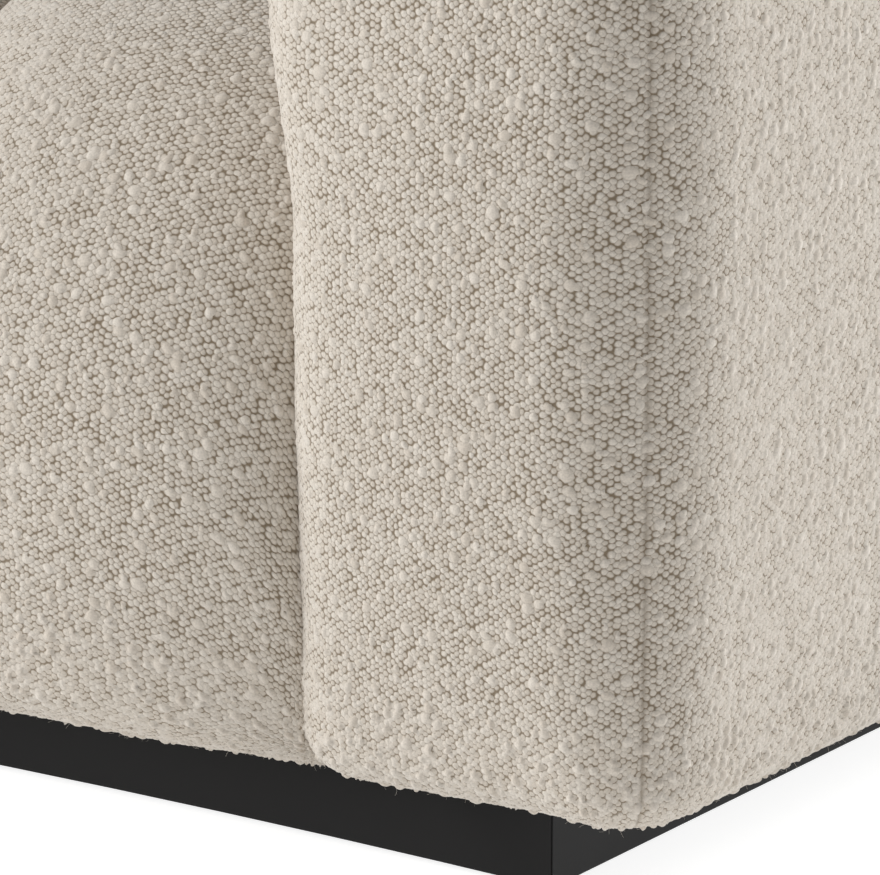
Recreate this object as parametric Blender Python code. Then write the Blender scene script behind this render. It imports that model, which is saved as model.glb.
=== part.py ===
"""Curved three-seat sofa: channelled seat and back, padded block arms, recessed black plinth.

The plan is drawn about the centre of the sofa's curve, which lies in front of it.  The sofa faces -Y
and +X is the end on the viewer's right.  A plan point is an angle from the centre line and a radius.
"""
import math

import bmesh
import bpy

# Main sizes, in metres
FRONT_RADIUS = 4.947
CHANNEL_COUNT = 6
CHANNEL_PITCH = 0.290
SEAT_DEPTH = 0.540
SEAT_HEIGHT = 0.475
BACK_THICKNESS = 0.320
BACK_HEIGHT = 0.760
ARM_WIDTH = 0.265
ARM_HEIGHT = 0.650
DECK_HEIGHT = 0.250

# Gap between pieces that touch, and between the two cheeks of a mitre
CLEARANCE = 0.0005
MITRE_GAP = 0.0003

# Plinth, its glides and how far the upholstery stands out beyond it
PLINTH_TOP = 0.061
PLINTH_BOARD = 0.020
PLINTH_BRACES = 2
SEAT_OVERHANG = 0.100
ARM_FRONT_OVERHANG = 0.066
ARM_SIDE_OVERHANG = 0.117
BACK_OVERHANG = 0.060
GLIDE_HEIGHT = 0.003
GLIDE_DIAMETER = 0.018
GLIDES_A_BOARD = 3
GLIDE_REACH = 0.88

# Base frame, deck and covers
DUST_COVER = 0.0012
DUST_COVER_REACH = 0.012
DUST_COVER_END_REACH = 0.060
RAIL_THICKNESS = 0.032
FRONT_PADDING = 0.110
BEARER_WIDTH = 0.030
BEARER_DROP = 0.050
SPRING_COUNT = 10
SPRING_WIRE = 0.0038
SPRING_SWING = 0.048
SPRING_BENDS = 12
SPRING_RISE = 0.012
SPRING_END = 0.010
DECK_PAD = 0.008
DECK_PAD_SET_IN = 0.003
DECK_STATIONS = 6

# Seat channels, and the hem of the arms and the outside panel
SEAT_CREASE = 0.065
SEAT_END_ROUND = 0.080
SEAT_ROLL = 0.250
SEAT_TUCK = 0.006
SEAT_FALL = 0.016
SEAT_TAIL = 0.040
SEAT_HEM = 0.046
SEAT_HEM_SINK = 0.28
HEM_RADIUS = 0.024

# Back channels, frame and outside panel
BACK_LEAN = math.radians(11.0)
BACK_BELLY_RISE = 0.075
BACK_FOOT_RISE = 0.006
BACK_FALL = 0.016
BACK_FRONT_ROLL = 0.085
BACK_REAR_ROLL = 0.070
BACK_LIP = 0.590
BACK_CREASE = 0.042
BACK_END_ROUND = 0.055
FOOT_SINK = 0.6
REAR_SINK = 0.35
OUTSIDE_PAD = 0.030
POST_WIDTH = 0.040
POST_DEPTH = 0.060
POST_SPREAD = 0.8
POST_COUNT = 3
BACK_RAIL_THICKNESS = 0.045
TOP_RAIL_HEIGHT = 0.040
TOP_RAIL_PADDING = 0.125
SUPPORT_PANEL = 0.004

# Arms
ARM_PADDING = 0.046
ARM_REAR_PADDING = 0.030
ARM_TOP_PADDING = 0.048
ARM_INNER_EDGE = 0.050
ARM_OUTER_EDGE = 0.045
ARM_REAR_EDGE = 0.030
ARM_TOP_EDGE = 0.055
ARM_TOP_RIM = 0.080
ARM_LEAST_EDGE = 0.004
ARM_CROWN = 0.012
ARM_SWELL = 0.018
ARM_SWELL_RISE = 0.120
ARM_SWELL_FADE = 0.150
ARM_POST = 0.040
ARM_TOP_RAIL = 0.028
ARM_PANEL = 0.006
END_RAIL_THICKNESS = 0.030

# Facets
CURVE_SEGMENTS = 28
DECK_SEGMENTS = 14
CHANNEL_SEGMENTS = 8

# Levels and radii that follow from them
BASE_BOTTOM = PLINTH_TOP + DUST_COVER + 2 * CLEARANCE
PLINTH_BOTTOM = GLIDE_HEIGHT + CLEARANCE
SEAT_FACE = FRONT_RADIUS - SEAT_OVERHANG
BACK_FACE = SEAT_FACE + SEAT_DEPTH
SEAT_REAR = BACK_FACE + SEAT_TAIL
REAR_FACE = BACK_FACE + BACK_THICKNESS
PLINTH_REAR = REAR_FACE - BACK_OVERHANG
RAIL_FRONT = SEAT_FACE + FRONT_PADDING
FRAME_REAR = REAR_FACE - OUTSIDE_PAD - CLEARANCE
POST_FRONT = FRAME_REAR - POST_DEPTH
PANEL_FRONT = POST_FRONT - CLEARANCE - SUPPORT_PANEL
BACK_RAIL_FRONT = FRAME_REAR - BACK_RAIL_THICKNESS
TOP_RAIL_TOP = BACK_HEIGHT - TOP_RAIL_PADDING
HALF_ANGLE = CHANNEL_COUNT * CHANNEL_PITCH / 2 / SEAT_FACE + math.asin(ARM_WIDTH / SEAT_FACE)
ARM_FRAME_INSET = ARM_WIDTH - ARM_PADDING
ARM_FRONT = math.sqrt(FRONT_RADIUS ** 2 - ARM_SIDE_OVERHANG ** 2) - ARM_FRONT_OVERHANG
ARM_REAR = math.sqrt(REAR_FACE ** 2 - ARM_WIDTH ** 2)
ARM_CAVITY_FRONT = ARM_FRONT + ARM_PADDING
ARM_CAVITY_REAR = ARM_REAR - ARM_REAR_PADDING
ARM_CAVITY_TOP = ARM_HEIGHT - ARM_TOP_PADDING


def clear_scene():
    for obj in list(bpy.data.objects):
        bpy.data.objects.remove(obj, do_unlink=True)


def finish(name, srgb, roughness, metallic=0.0):
    """A plain material from an 8-bit sRGB colour."""
    linear = [(c / 255 / 12.92) if c / 255 <= 0.04045 else ((c / 255 + 0.055) / 1.055) ** 2.4 for c in srgb]
    material = bpy.data.materials.new(name)
    material.use_nodes = True
    shader = material.node_tree.nodes["Principled BSDF"]
    shader.inputs["Base Color"].default_value = (*linear, 1.0)
    shader.inputs["Roughness"].default_value = roughness
    shader.inputs["Metallic"].default_value = metallic
    return material


def plane_angle(share, radius, inset):
    """Angle where a radius meets an upright plane between the two ends.

    At share 1 the plane is parallel to the right arm's outer side and set in from it; at share 0 it is
    the centre plane.
    """
    return share * HALF_ANGLE - math.asin(share * inset / radius)


def plan(angle, radius, z):
    return (radius * math.sin(angle), radius * math.cos(angle), z)


def along(radius, across):
    """How far along an end plane a radius reaches, at a distance across from that plane."""
    return math.sqrt(radius ** 2 - across ** 2)


def arc(centre, radius, start, stop, steps):
    """Points of an arc in a section, from start to stop in degrees, 0 pointing backwards and 90 up."""
    turns = [math.radians(start + (stop - start) * i / steps) for i in range(steps + 1)]
    return [(centre[0] + radius * math.cos(t), centre[1] + radius * math.sin(t)) for t in turns]


def spread(first, last, steps):
    return [first + (last - first) * i / steps for i in range(steps + 1)]


def smooth_step(value):
    value = min(max(value, 0.0), 1.0)
    return value * value * (3 - 2 * value)


def add_object(name, data, parent, material):
    obj = bpy.data.objects.new(name, data)
    bpy.context.scene.collection.objects.link(obj)
    obj.parent = parent
    if data:
        data.materials.append(material)
    return obj


def mesh_from(bm, name, smooth_angle):
    bmesh.ops.recalc_face_normals(bm, faces=bm.faces)
    mesh = bpy.data.meshes.new(name)
    bm.to_mesh(mesh)
    bm.free()
    if smooth_angle:
        mesh.shade_smooth()
        mesh.set_sharp_from_angle(angle=math.radians(smooth_angle))
    return mesh


def loft(name, rings, parent, material, smooth_angle=30):
    """A closed solid through rings of equal length, capped at both ends."""
    bm = bmesh.new()
    loops = [[bm.verts.new(point) for point in ring] for ring in rings]
    count = len(rings[0])
    for near, far in zip(loops, loops[1:]):
        for i in range(count):
            j = (i + 1) % count
            bm.faces.new((near[i], near[j], far[j], far[i]))
    bm.faces.new(loops[0])
    bm.faces.new(loops[-1])
    return add_object(name, mesh_from(bm, name, smooth_angle), parent, material)


def prism(name, outline, low, high, parent, material):
    """A plan outline carried upright from one level to another."""
    rings = [[(x, y, z) for x, y in outline] for z in (low, high)]
    return loft(name, rings, parent, material, smooth_angle=None)


def box(name, x, y, z, parent, material):
    """A box from its three ranges, with its origin at its middle."""
    middle = [(r[0] + r[1]) / 2 for r in (x, y, z)]
    half = [abs(r[1] - r[0]) / 2 for r in (x, y, z)]
    outline = [(-half[0], -half[1]), (half[0], -half[1]), (half[0], half[1]), (-half[0], half[1])]
    obj = prism(name, outline, -half[2], half[2], parent, material)
    obj.location = middle
    return obj


def radial_box(name, angle, radii, width, z, parent, material):
    """A box lying along one radius of the plan."""
    middle = (radii[0] + radii[1]) / 2
    half = (radii[1] - radii[0]) / 2
    obj = box(name, (-width / 2, width / 2), (-half, half), z, parent, material)
    obj.location = plan(angle, middle, (z[0] + z[1]) / 2)
    obj.rotation_euler.z = -angle
    return obj


def curved(name, section, parent, material, segments=CURVE_SEGMENTS):
    """A section of (radius, level, inset) points swept from one end plane to the other."""
    rings = []
    for share in spread(-1.0, 1.0, segments):
        rings.append([plan(share * plane_angle(1.0, r, inset), r, z) for r, z, inset in section])
    return loft(name, rings, parent, material)


def curved_board(name, radii, z, inset, parent, material):
    low, high = radii
    section = [(low, z[0], inset), (high, z[0], inset), (high, z[1], inset), (low, z[1], inset)]
    return curved(name, section, parent, material)


def plinth(parent, ends, black):
    """Curved front and back boards mitred to two straight ends, with braces between."""
    levels = (PLINTH_BOTTOM, PLINTH_TOP)
    front = (FRONT_RADIUS, FRONT_RADIUS + PLINTH_BOARD)
    back = (PLINTH_REAR - PLINTH_BOARD, PLINTH_REAR)
    shown = ARM_SIDE_OVERHANG + MITRE_GAP
    hidden = shown + PLINTH_BOARD
    for name, radii, insets in (("plinth_front", front, (shown, hidden)), ("plinth_back", back, (hidden, shown))):
        corners = ((0, 0), (1, 0), (1, 1), (0, 1))
        curved(name, [(radii[i], levels[j], insets[i]) for i, j in corners], parent, black)

    outer = ARM_SIDE_OVERHANG
    inner = ARM_SIDE_OVERHANG + PLINTH_BOARD
    for side, end in ends.items():
        sign = 1 if side == "right" else -1
        outline = [
            (-sign * outer, along(front[0], outer)),
            (-sign * inner, along(front[1], inner)),
            (-sign * inner, along(back[0], inner)),
            (-sign * outer, along(back[1], outer)),
        ]
        prism(f"plinth_{side}_end", outline, *levels, end, black)

    reach = (front[1] + CLEARANCE, back[0] - CLEARANCE)
    for i, angle in enumerate(brace_angles()):
        radial_box(f"plinth_brace_{i + 1}", angle, reach, PLINTH_BOARD, levels, parent, black)


def brace_angles():
    """Lines of the braces and of the bearers above them, evenly spaced between the ends."""
    return [HALF_ANGLE * (2 * (i + 1) / (PLINTH_BRACES + 1) - 1) for i in range(PLINTH_BRACES)]


def glides(parent, felt):
    """Round pads under the middle and towards the ends of both curved boards."""
    lines = (FRONT_RADIUS + PLINTH_BOARD / 2, PLINTH_REAR - PLINTH_BOARD / 2)
    turns = [2 * math.pi * i / 12 for i in range(12)]
    outline = [(GLIDE_DIAMETER / 2 * math.cos(t), GLIDE_DIAMETER / 2 * math.sin(t)) for t in turns]
    for row, radius in zip(("front", "back"), lines):
        for i, share in enumerate(spread(-GLIDE_REACH, GLIDE_REACH, GLIDES_A_BOARD - 1)):
            pad = prism(f"glide_{row}_{i + 1}", outline, 0.0, GLIDE_HEIGHT, parent, felt)
            pad.location = plan(share * HALF_ANGLE, radius, 0.0)


def base_frame(parent, timber, cloth):
    """Seat rails and bearers on the plinth, over a thin dust cover."""
    cover = (PLINTH_TOP + CLEARANCE, PLINTH_TOP + CLEARANCE + DUST_COVER)
    radii = (FRONT_RADIUS - DUST_COVER_REACH, PLINTH_REAR + DUST_COVER_REACH)
    curved_board("dust_cover", radii, cover, ARM_SIDE_OVERHANG - DUST_COVER_END_REACH, parent, cloth)

    levels = (BASE_BOTTOM, DECK_HEIGHT)
    front = (RAIL_FRONT, RAIL_FRONT + RAIL_THICKNESS)
    back = (BACK_RAIL_FRONT, FRAME_REAR)
    curved_board("seat_front_rail", front, levels, ARM_FRAME_INSET, parent, timber)
    curved_board("seat_back_rail", back, levels, ARM_FRAME_INSET, parent, timber)
    reach = (front[1] + CLEARANCE, back[0] - CLEARANCE)
    low_levels = (BASE_BOTTOM, DECK_HEIGHT - BEARER_DROP)
    for i, angle in enumerate(brace_angles()):
        radial_box(f"seat_bearer_{i + 1}", angle, reach, BEARER_WIDTH, low_levels, parent, timber)


def spring_rise(radius):
    """How far the arched springs, and all that lies on them, stand above the rails."""
    middle = (RAIL_FRONT + FRAME_REAR) / 2
    half = (FRAME_REAR - RAIL_FRONT) / 2
    return SPRING_RISE * (1 - ((radius - middle) / half) ** 2)


def springs(parent, steel):
    """Zigzag wire springs, each arched from the front rail to the back rail."""
    start = RAIL_FRONT + SPRING_END
    stop = FRAME_REAR - SPRING_END
    middle = (start + stop) / 2
    steps_a_bend = 3
    total = SPRING_BENDS * steps_a_bend
    for i in range(SPRING_COUNT):
        share = (2 * i + 1) / SPRING_COUNT - 1
        curve = bpy.data.curves.new(f"seat_spring_{i + 1}", "CURVE")
        curve.dimensions = "3D"
        curve.bevel_depth = SPRING_WIRE / 2
        curve.bevel_resolution = 0
        curve.use_fill_caps = True
        spline = curve.splines.new("POLY")
        spline.points.add(total)
        for k, point in enumerate(spline.points):
            radius = start + (stop - start) * k / total
            swing = SPRING_SWING / 2 * math.sin(math.pi * k / steps_a_bend)
            level = DECK_HEIGHT + CLEARANCE + SPRING_WIRE / 2 + spring_rise(radius)
            point.co = (swing, radius - middle, level, 1.0)
        spring = add_object(curve.name, curve, parent, steel)
        angle = plane_angle(share, middle, ARM_WIDTH)
        spring.location = plan(angle, middle, 0.0)
        spring.rotation_euler.z = -angle


def pad_level(radius):
    """Underside of the felt that lies over the springs."""
    return DECK_HEIGHT + SPRING_WIRE + 2 * CLEARANCE + spring_rise(radius)


def deck_line(first, last):
    """Stations across the deck, with the level that the foam rests at."""
    return [(r, pad_level(r) + DECK_PAD + CLEARANCE) for r in spread(first, last, DECK_STATIONS)]


def deck_pad(parent, felt):
    inset = ARM_WIDTH + CLEARANCE
    radii = spread(RAIL_FRONT + DECK_PAD_SET_IN, PANEL_FRONT - CLEARANCE, DECK_STATIONS)
    under = [(r, pad_level(r), inset) for r in radii]
    over = [(r, pad_level(r) + DECK_PAD, inset) for r in reversed(radii)]
    curved("deck_pad", under + over, parent, felt, DECK_SEGMENTS)


def back_frame(parent, timber, board):
    """Posts on the back rail, a curved top rail on them, and a thin panel across their fronts."""
    post_top = TOP_RAIL_TOP - TOP_RAIL_HEIGHT - CLEARANCE
    for i, share in enumerate(spread(-POST_SPREAD, POST_SPREAD, POST_COUNT - 1)):
        angle = plane_angle(share, POST_FRONT, ARM_WIDTH)
        radii = (POST_FRONT, FRAME_REAR)
        levels = (DECK_HEIGHT + CLEARANCE, post_top)
        radial_box(f"back_post_{i + 1}", angle, radii, POST_WIDTH, levels, parent, timber)
    inset = ARM_WIDTH + CLEARANCE
    levels = (TOP_RAIL_TOP - TOP_RAIL_HEIGHT, TOP_RAIL_TOP)
    curved_board("back_top_rail", (POST_FRONT, FRAME_REAR), levels, inset, parent, timber)
    front = PANEL_FRONT
    levels = (pad_level(front) + DECK_PAD + CLEARANCE, TOP_RAIL_TOP)
    curved_board("back_support_panel", (front, front + SUPPORT_PANEL), levels, inset, parent, board)


def seat_section():
    """Outer line of a seat channel with the share of the crease depth at each point, then its inside.

    The cover starts under the front rail, turns up round the hem, swells to its fullest at the roll,
    and runs back to the foot of the back.
    """
    roll_level = SEAT_HEIGHT - SEAT_ROLL
    hem = (SEAT_FACE + SEAT_TUCK + SEAT_HEM, BASE_BOTTOM + SEAT_HEM)
    inside_front = RAIL_FRONT - CLEARANCE
    outer = [(inside_front, BASE_BOTTOM, 0.0)]
    outer += [(r, z, SEAT_HEM_SINK) for r, z in arc(hem, SEAT_HEM, 270, 180, 4)]
    for part in (0.33, 0.66):
        level = hem[1] + (roll_level - hem[1]) * part
        sink = SEAT_HEM_SINK + (1 - SEAT_HEM_SINK) * part
        outer.append((SEAT_FACE + SEAT_TUCK * (1 - part) ** 2, level, sink))
    outer += [(r, z, 1.0) for r, z in arc((SEAT_FACE + SEAT_ROLL, roll_level), SEAT_ROLL, 180, 90, 6)]
    for part in (0.5, 1.0):
        radius = SEAT_FACE + SEAT_ROLL + (SEAT_REAR - SEAT_FACE - SEAT_ROLL) * part
        outer.append((radius, SEAT_HEIGHT - SEAT_FALL * part, 1.0))
    inner = deck_line(SEAT_REAR, inside_front)
    return outer, inner


def back_section():
    """The same for a back channel: up the leaning face, over the top and down to a lip at the rear."""
    foot = SEAT_REAR + CLEARANCE
    belly = SEAT_HEIGHT + BACK_BELLY_RISE
    roll_level = BACK_HEIGHT - BACK_FRONT_ROLL
    face_top = BACK_FACE + (roll_level - belly) * math.tan(BACK_LEAN)
    rear = (REAR_FACE - BACK_REAR_ROLL, BACK_HEIGHT - BACK_REAR_ROLL - BACK_FALL)
    above_seat = SEAT_HEIGHT - SEAT_FALL + BACK_FOOT_RISE
    outer = [(foot, above_seat, 0.0)]
    outer.append(((foot + 2 * BACK_FACE) / 3, (above_seat + belly) / 2, FOOT_SINK))
    outer.append((BACK_FACE, belly, 1.0))
    outer.append(((BACK_FACE + face_top) / 2, (belly + roll_level) / 2, 1.0))
    start = 180 - math.degrees(BACK_LEAN)
    centre = (face_top + BACK_FRONT_ROLL * math.cos(BACK_LEAN), roll_level)
    outer += [(r, z, 1.0) for r, z in arc(centre, BACK_FRONT_ROLL, start, 90, 4)]
    rear_roll = arc(rear, BACK_REAR_ROLL, 90, 0, 4)
    outer += [(r, z, w) for (r, z), w in zip(rear_roll, spread(1.0, REAR_SINK, 4))]
    outer.append((REAR_FACE, BACK_LIP, 0.0))
    behind_rail = FRAME_REAR + CLEARANCE
    before_panel = PANEL_FRONT - CLEARANCE
    over_rail = TOP_RAIL_TOP + CLEARANCE
    inner = [(behind_rail, BACK_LIP), (behind_rail, over_rail), (before_panel, over_rail)]
    inner += deck_line(before_panel, foot)
    return outer, inner


def inward(points, i):
    """Unit direction into the foam at a point of an outer line."""
    before = points[max(i - 1, 0)]
    after = points[min(i + 1, len(points) - 1)]
    run = (after[0] - before[0], after[1] - before[1])
    length = math.hypot(*run)
    return (run[1] / length, -run[0] / length)


def channel(name, index, section, crease, end_depth, parent, material):
    """One puffed channel of foam between two creases.

    Its outer line sinks to the crease's depth on both sides along a round crown.  On an end channel the
    side away from its neighbours sinks further, to end_depth.
    """
    outer, inner = section
    half_turn = math.pi / 2
    rings = []
    for i in range(CHANNEL_SEGMENTS + 1):
        turn = half_turn * (2 * i / CHANNEL_SEGMENTS - 1)
        across = math.sin(turn) * (0.5 - CLEARANCE / 2 / CHANNEL_PITCH)
        share = 2 * (index + 0.5 + across) / CHANNEL_COUNT - 1
        at_end = (index == 0 and turn < 0) or (index == CHANNEL_COUNT - 1 and turn > 0)
        depth = (end_depth if at_end else crease) * (1 - math.cos(turn))
        line = []
        for k, (radius, level, weight) in enumerate(outer):
            way = inward(outer, k)
            line.append((radius + way[0] * depth * weight, level + way[1] * depth * weight))
        line += inner
        rings.append([plan(plane_angle(share, r, ARM_WIDTH), r, z) for r, z in line])
    return loft(name, rings, parent, material, smooth_angle=60)


def outside_back(parent, material):
    """Thin padded panel over the back of the frame, from the plinth up to the channels' lip."""
    inset = ARM_WIDTH + CLEARANCE
    inner = FRAME_REAR + CLEARANCE
    hem = (REAR_FACE - HEM_RADIUS, BASE_BOTTOM + HEM_RADIUS)
    line = [(inner, BASE_BOTTOM)] + arc(hem, HEM_RADIUS, 270, 360, 3)
    line += [(REAR_FACE, BACK_LIP - CLEARANCE), (inner, BACK_LIP - CLEARANCE)]
    curved("outside_back", [(r, z, inset) for r, z in line], parent, material)


def seat_surface(radius):
    """Crest level of the seat at a radius, along the roll and the top."""
    run = radius - SEAT_FACE
    if run >= SEAT_ROLL:
        return SEAT_HEIGHT - SEAT_FALL * (run - SEAT_ROLL) / (SEAT_REAR - SEAT_FACE - SEAT_ROLL)
    run = max(run, 0.0)
    return SEAT_HEIGHT - SEAT_ROLL + math.sqrt(SEAT_ROLL ** 2 - (SEAT_ROLL - run) ** 2)


def arm_outline(inset):
    """Plan of the right arm, inset all round: x across from its outer side, y along the arm."""
    west, east = -ARM_WIDTH + CLEARANCE + inset, -ARM_CROWN - inset
    south, north = ARM_FRONT + inset, ARM_REAR - inset
    corners = (
        (west, south, 1, 1, ARM_INNER_EDGE, 180, 5, spread(west, east, 5)[1:-1], "x"),
        (east, south, -1, 1, ARM_OUTER_EDGE, 270, 3, spread(south, north, 6)[1:-1], "y"),
        (east, north, -1, -1, ARM_REAR_EDGE, 0, 3, spread(east, west, 3)[1:-1], "x"),
        (west, north, 1, -1, ARM_REAR_EDGE, 90, 3, spread(north, south, 6)[1:-1], "y"),
    )
    points = []
    for x, y, into_x, into_y, radius, start, steps, run, axis in corners:
        radius = max(radius - inset, ARM_LEAST_EDGE)
        points += arc((x + into_x * radius, y + into_y * radius), radius, start, start + 90, steps)
        points += [(value, y) if axis == "x" else (x, value) for value in run]
    return points


def bow(value, low, high):
    """1 at the middle of a range and 0 at its ends."""
    return max(0.0, 1 - ((2 * value - low - high) / (high - low)) ** 2)


def arm_point(x, y, z):
    """A point of the arm's outline moved out by the crown of its panels and the swell over the seat."""
    tall = bow(z, BASE_BOTTOM, ARM_HEIGHT)
    if y < ARM_FRONT + ARM_OUTER_EDGE:
        y -= ARM_CROWN * tall * bow(x, -ARM_WIDTH, 0.0)
    if x > -ARM_WIDTH / 2:
        x += ARM_CROWN * tall * bow(y, ARM_FRONT, ARM_REAR)
    else:
        seat = seat_surface(math.hypot(x, y))
        fade = smooth_step((BACK_FACE - BACK_CREASE - y) / ARM_SWELL_FADE)
        top = smooth_step((ARM_HEIGHT - z) / ARM_TOP_EDGE)
        x -= ARM_SWELL * smooth_step((z - seat) / ARM_SWELL_RISE) * fade * top
    return x, y, z


def arm_rings():
    """Level rings of the arm's padding, from the hem to the crowned top."""
    rings = [(r, z) for r, z in arc((0.0, BASE_BOTTOM + HEM_RADIUS), HEM_RADIUS, 270, 360, 3)]
    levels = [(HEM_RADIUS - r, z) for r, z in rings]
    start = BASE_BOTTOM + HEM_RADIUS
    stop = ARM_HEIGHT - ARM_TOP_EDGE
    levels += [(0.0, z) for z in spread(start, stop, 6)[1:-1]]
    levels += [(ARM_TOP_EDGE - r, z) for r, z in arc((0.0, stop), ARM_TOP_EDGE, 0, 75, 4)]
    levels.append((ARM_TOP_RIM, ARM_HEIGHT))
    return [[arm_point(x, y, z) for x, y in arm_outline(inset)] for inset, z in levels]


def cutter(name, x, y, z, parent, target):
    """A hidden box that is cut out of a piece."""
    tool = box(name, x, y, z, parent, None)
    tool.hide_render = True
    tool.display_type = "WIRE"
    cut = target.modifiers.new(name, "BOOLEAN")
    cut.operation = "DIFFERENCE"
    cut.solver = "EXACT"
    cut.object = tool


def arm(side, end, fabric, timber, board):
    """One arm: a timber and board frame inside a padded case that is open below.

    Under the deck the case's inner wall is cut away, so that the seat rails reach the arm frame.
    """
    sign = 1 if side == "right" else -1
    rings = [[(sign * x, y, z) for x, y, z in ring] for ring in arm_rings()]
    case = loft(f"arm_{side}_padding", rings, end, fabric, smooth_angle=60)

    def across(near, far):
        return tuple(sorted((-sign * near, -sign * far)))

    below = BASE_BOTTOM - HEM_RADIUS
    hollow = across(ARM_PADDING, ARM_FRAME_INSET)
    run = (ARM_CAVITY_FRONT, ARM_CAVITY_REAR)
    cutter(f"arm_{side}_hollow", hollow, run, (below, ARM_CAVITY_TOP), end, case)
    beside = across(ARM_FRAME_INSET - ARM_PANEL, ARM_WIDTH + ARM_PADDING)
    rails = (along(RAIL_FRONT, ARM_WIDTH) - CLEARANCE, along(FRAME_REAR, ARM_FRAME_INSET) + CLEARANCE)
    cutter(f"arm_{side}_rail_cut", beside, rails, (below, DECK_HEIGHT + CLEARANCE), end, case)

    width = across(ARM_PADDING + CLEARANCE, ARM_FRAME_INSET - CLEARANCE)
    front = (run[0] + CLEARANCE, run[0] + CLEARANCE + ARM_POST)
    rear = (run[1] - CLEARANCE - ARM_POST, run[1] - CLEARANCE)
    rail_top = ARM_CAVITY_TOP - CLEARANCE
    post_top = rail_top - ARM_TOP_RAIL - CLEARANCE
    upright = (BASE_BOTTOM, post_top)
    box(f"arm_{side}_front_post", width, front, upright, end, timber)
    box(f"arm_{side}_rear_post", width, rear, upright, end, timber)
    box(f"arm_{side}_top_rail", width, (front[0], rear[1]), (rail_top - ARM_TOP_RAIL, rail_top), end, timber)

    between = (front[1] + CLEARANCE, rear[0] - CLEARANCE)
    outer_skin = across(ARM_PADDING + CLEARANCE, ARM_PADDING + CLEARANCE + ARM_PANEL)
    inner_skin = across(ARM_FRAME_INSET - CLEARANCE - ARM_PANEL, ARM_FRAME_INSET - CLEARANCE)
    box(f"arm_{side}_outer_panel", outer_skin, between, upright, end, board)
    box(f"arm_{side}_inner_panel", inner_skin, between, upright, end, board)
    rail_near = ARM_FRAME_INSET - ARM_PANEL - 2 * CLEARANCE
    end_rail = across(rail_near - END_RAIL_THICKNESS, rail_near)
    box(f"seat_{side}_rail", end_rail, between, (BASE_BOTTOM, DECK_HEIGHT), end, timber)


def centre_plan(root):
    """Move the whole sofa so that its plan is centred on the origin."""
    bpy.context.view_layer.update()
    reach = []
    for obj in bpy.data.objects:
        if obj.type == "MESH" and not obj.hide_render:
            reach += [(obj.matrix_world @ vertex.co).y for vertex in obj.data.vertices]
    root.location.y = -(min(reach) + max(reach)) / 2


def build():
    clear_scene()
    fabric = finish("cream_boucle", (190, 181, 168), 0.95)
    black = finish("black_lacquer", (36, 36, 36), 0.38)
    timber = finish("pine", (205, 170, 122), 0.7)
    board = finish("fibreboard", (142, 108, 74), 0.8)
    steel = finish("spring_steel", (120, 120, 124), 0.35, 1.0)
    felt = finish("grey_felt", (104, 102, 100), 1.0)
    cloth = finish("black_dust_cloth", (34, 34, 35), 0.95)

    root = add_object("sofa", None, None, None)
    ends = {}
    for side, sign in (("left", -1), ("right", 1)):
        ends[side] = add_object(f"{side}_end", None, root, None)
        ends[side].rotation_euler.z = -sign * HALF_ANGLE

    plinth(root, ends, black)
    glides(root, felt)
    base_frame(root, timber, cloth)
    springs(root, steel)
    deck_pad(root, felt)
    back_frame(root, timber, board)
    for side, end in ends.items():
        arm(side, end, fabric, timber, board)
    outside_back(root, fabric)
    for i in range(CHANNEL_COUNT):
        channel(f"seat_channel_{i + 1}", i, seat_section(), SEAT_CREASE, SEAT_END_ROUND, root, fabric)
        channel(f"back_channel_{i + 1}", i, back_section(), BACK_CREASE, BACK_END_ROUND, root, fabric)
    centre_plan(root)


build()
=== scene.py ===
"""Looks of the curved sofa: cream boucle over foam, on a black lacquered plinth."""
import math

import bmesh
import bpy
import numpy as np
from mathutils import Matrix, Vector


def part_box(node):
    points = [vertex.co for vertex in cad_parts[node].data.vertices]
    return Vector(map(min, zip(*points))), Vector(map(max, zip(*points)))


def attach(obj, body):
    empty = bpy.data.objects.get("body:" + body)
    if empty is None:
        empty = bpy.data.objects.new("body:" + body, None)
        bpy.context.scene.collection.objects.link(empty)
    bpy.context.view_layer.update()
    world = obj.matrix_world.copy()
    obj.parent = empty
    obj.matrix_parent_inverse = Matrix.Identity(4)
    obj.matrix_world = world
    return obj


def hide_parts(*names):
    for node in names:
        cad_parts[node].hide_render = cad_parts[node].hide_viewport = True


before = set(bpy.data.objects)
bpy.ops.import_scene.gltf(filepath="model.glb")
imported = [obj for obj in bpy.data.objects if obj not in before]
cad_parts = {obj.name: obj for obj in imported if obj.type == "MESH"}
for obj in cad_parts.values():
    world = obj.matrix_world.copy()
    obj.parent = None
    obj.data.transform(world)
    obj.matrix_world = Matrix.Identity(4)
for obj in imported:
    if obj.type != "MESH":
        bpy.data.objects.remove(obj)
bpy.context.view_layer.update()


# Timber frame: planed pine rails, posts and bearers, screwed and glued together under the upholstery.
# Pine shows straight bands of early and late wood, and a dull planed surface.
def linear(colour):
    """An sRGB hex colour as the linear RGBA that a socket takes."""
    parts = [int(colour[i:i + 2], 16) / 255 for i in (1, 3, 5)]
    return (*[c / 12.92 if c <= 0.04045 else ((c + 0.055) / 1.055) ** 2.4 for c in parts], 1.0)


def feed(tree, node, feeds):
    """Sets a node's inputs. A feed is a value, a socket to link, or a node whose first output is linked."""
    for key, value in feeds.items():
        if isinstance(value, bpy.types.Node):
            value = value.outputs[0]
        if isinstance(value, bpy.types.NodeSocket):
            tree.links.new(value, node.inputs[key])
        else:
            node.inputs[key].default_value = value


def add(tree, kind, feeds=None, **settings):
    """Adds a node with its settings and feeds. A kind without Node in its name is a shader node."""
    made = tree.nodes.new(kind if "Node" in kind else f"ShaderNode{kind}")
    for name, value in settings.items():
        setattr(made, name, value)
    feed(tree, made, feeds or {})
    return made


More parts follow.
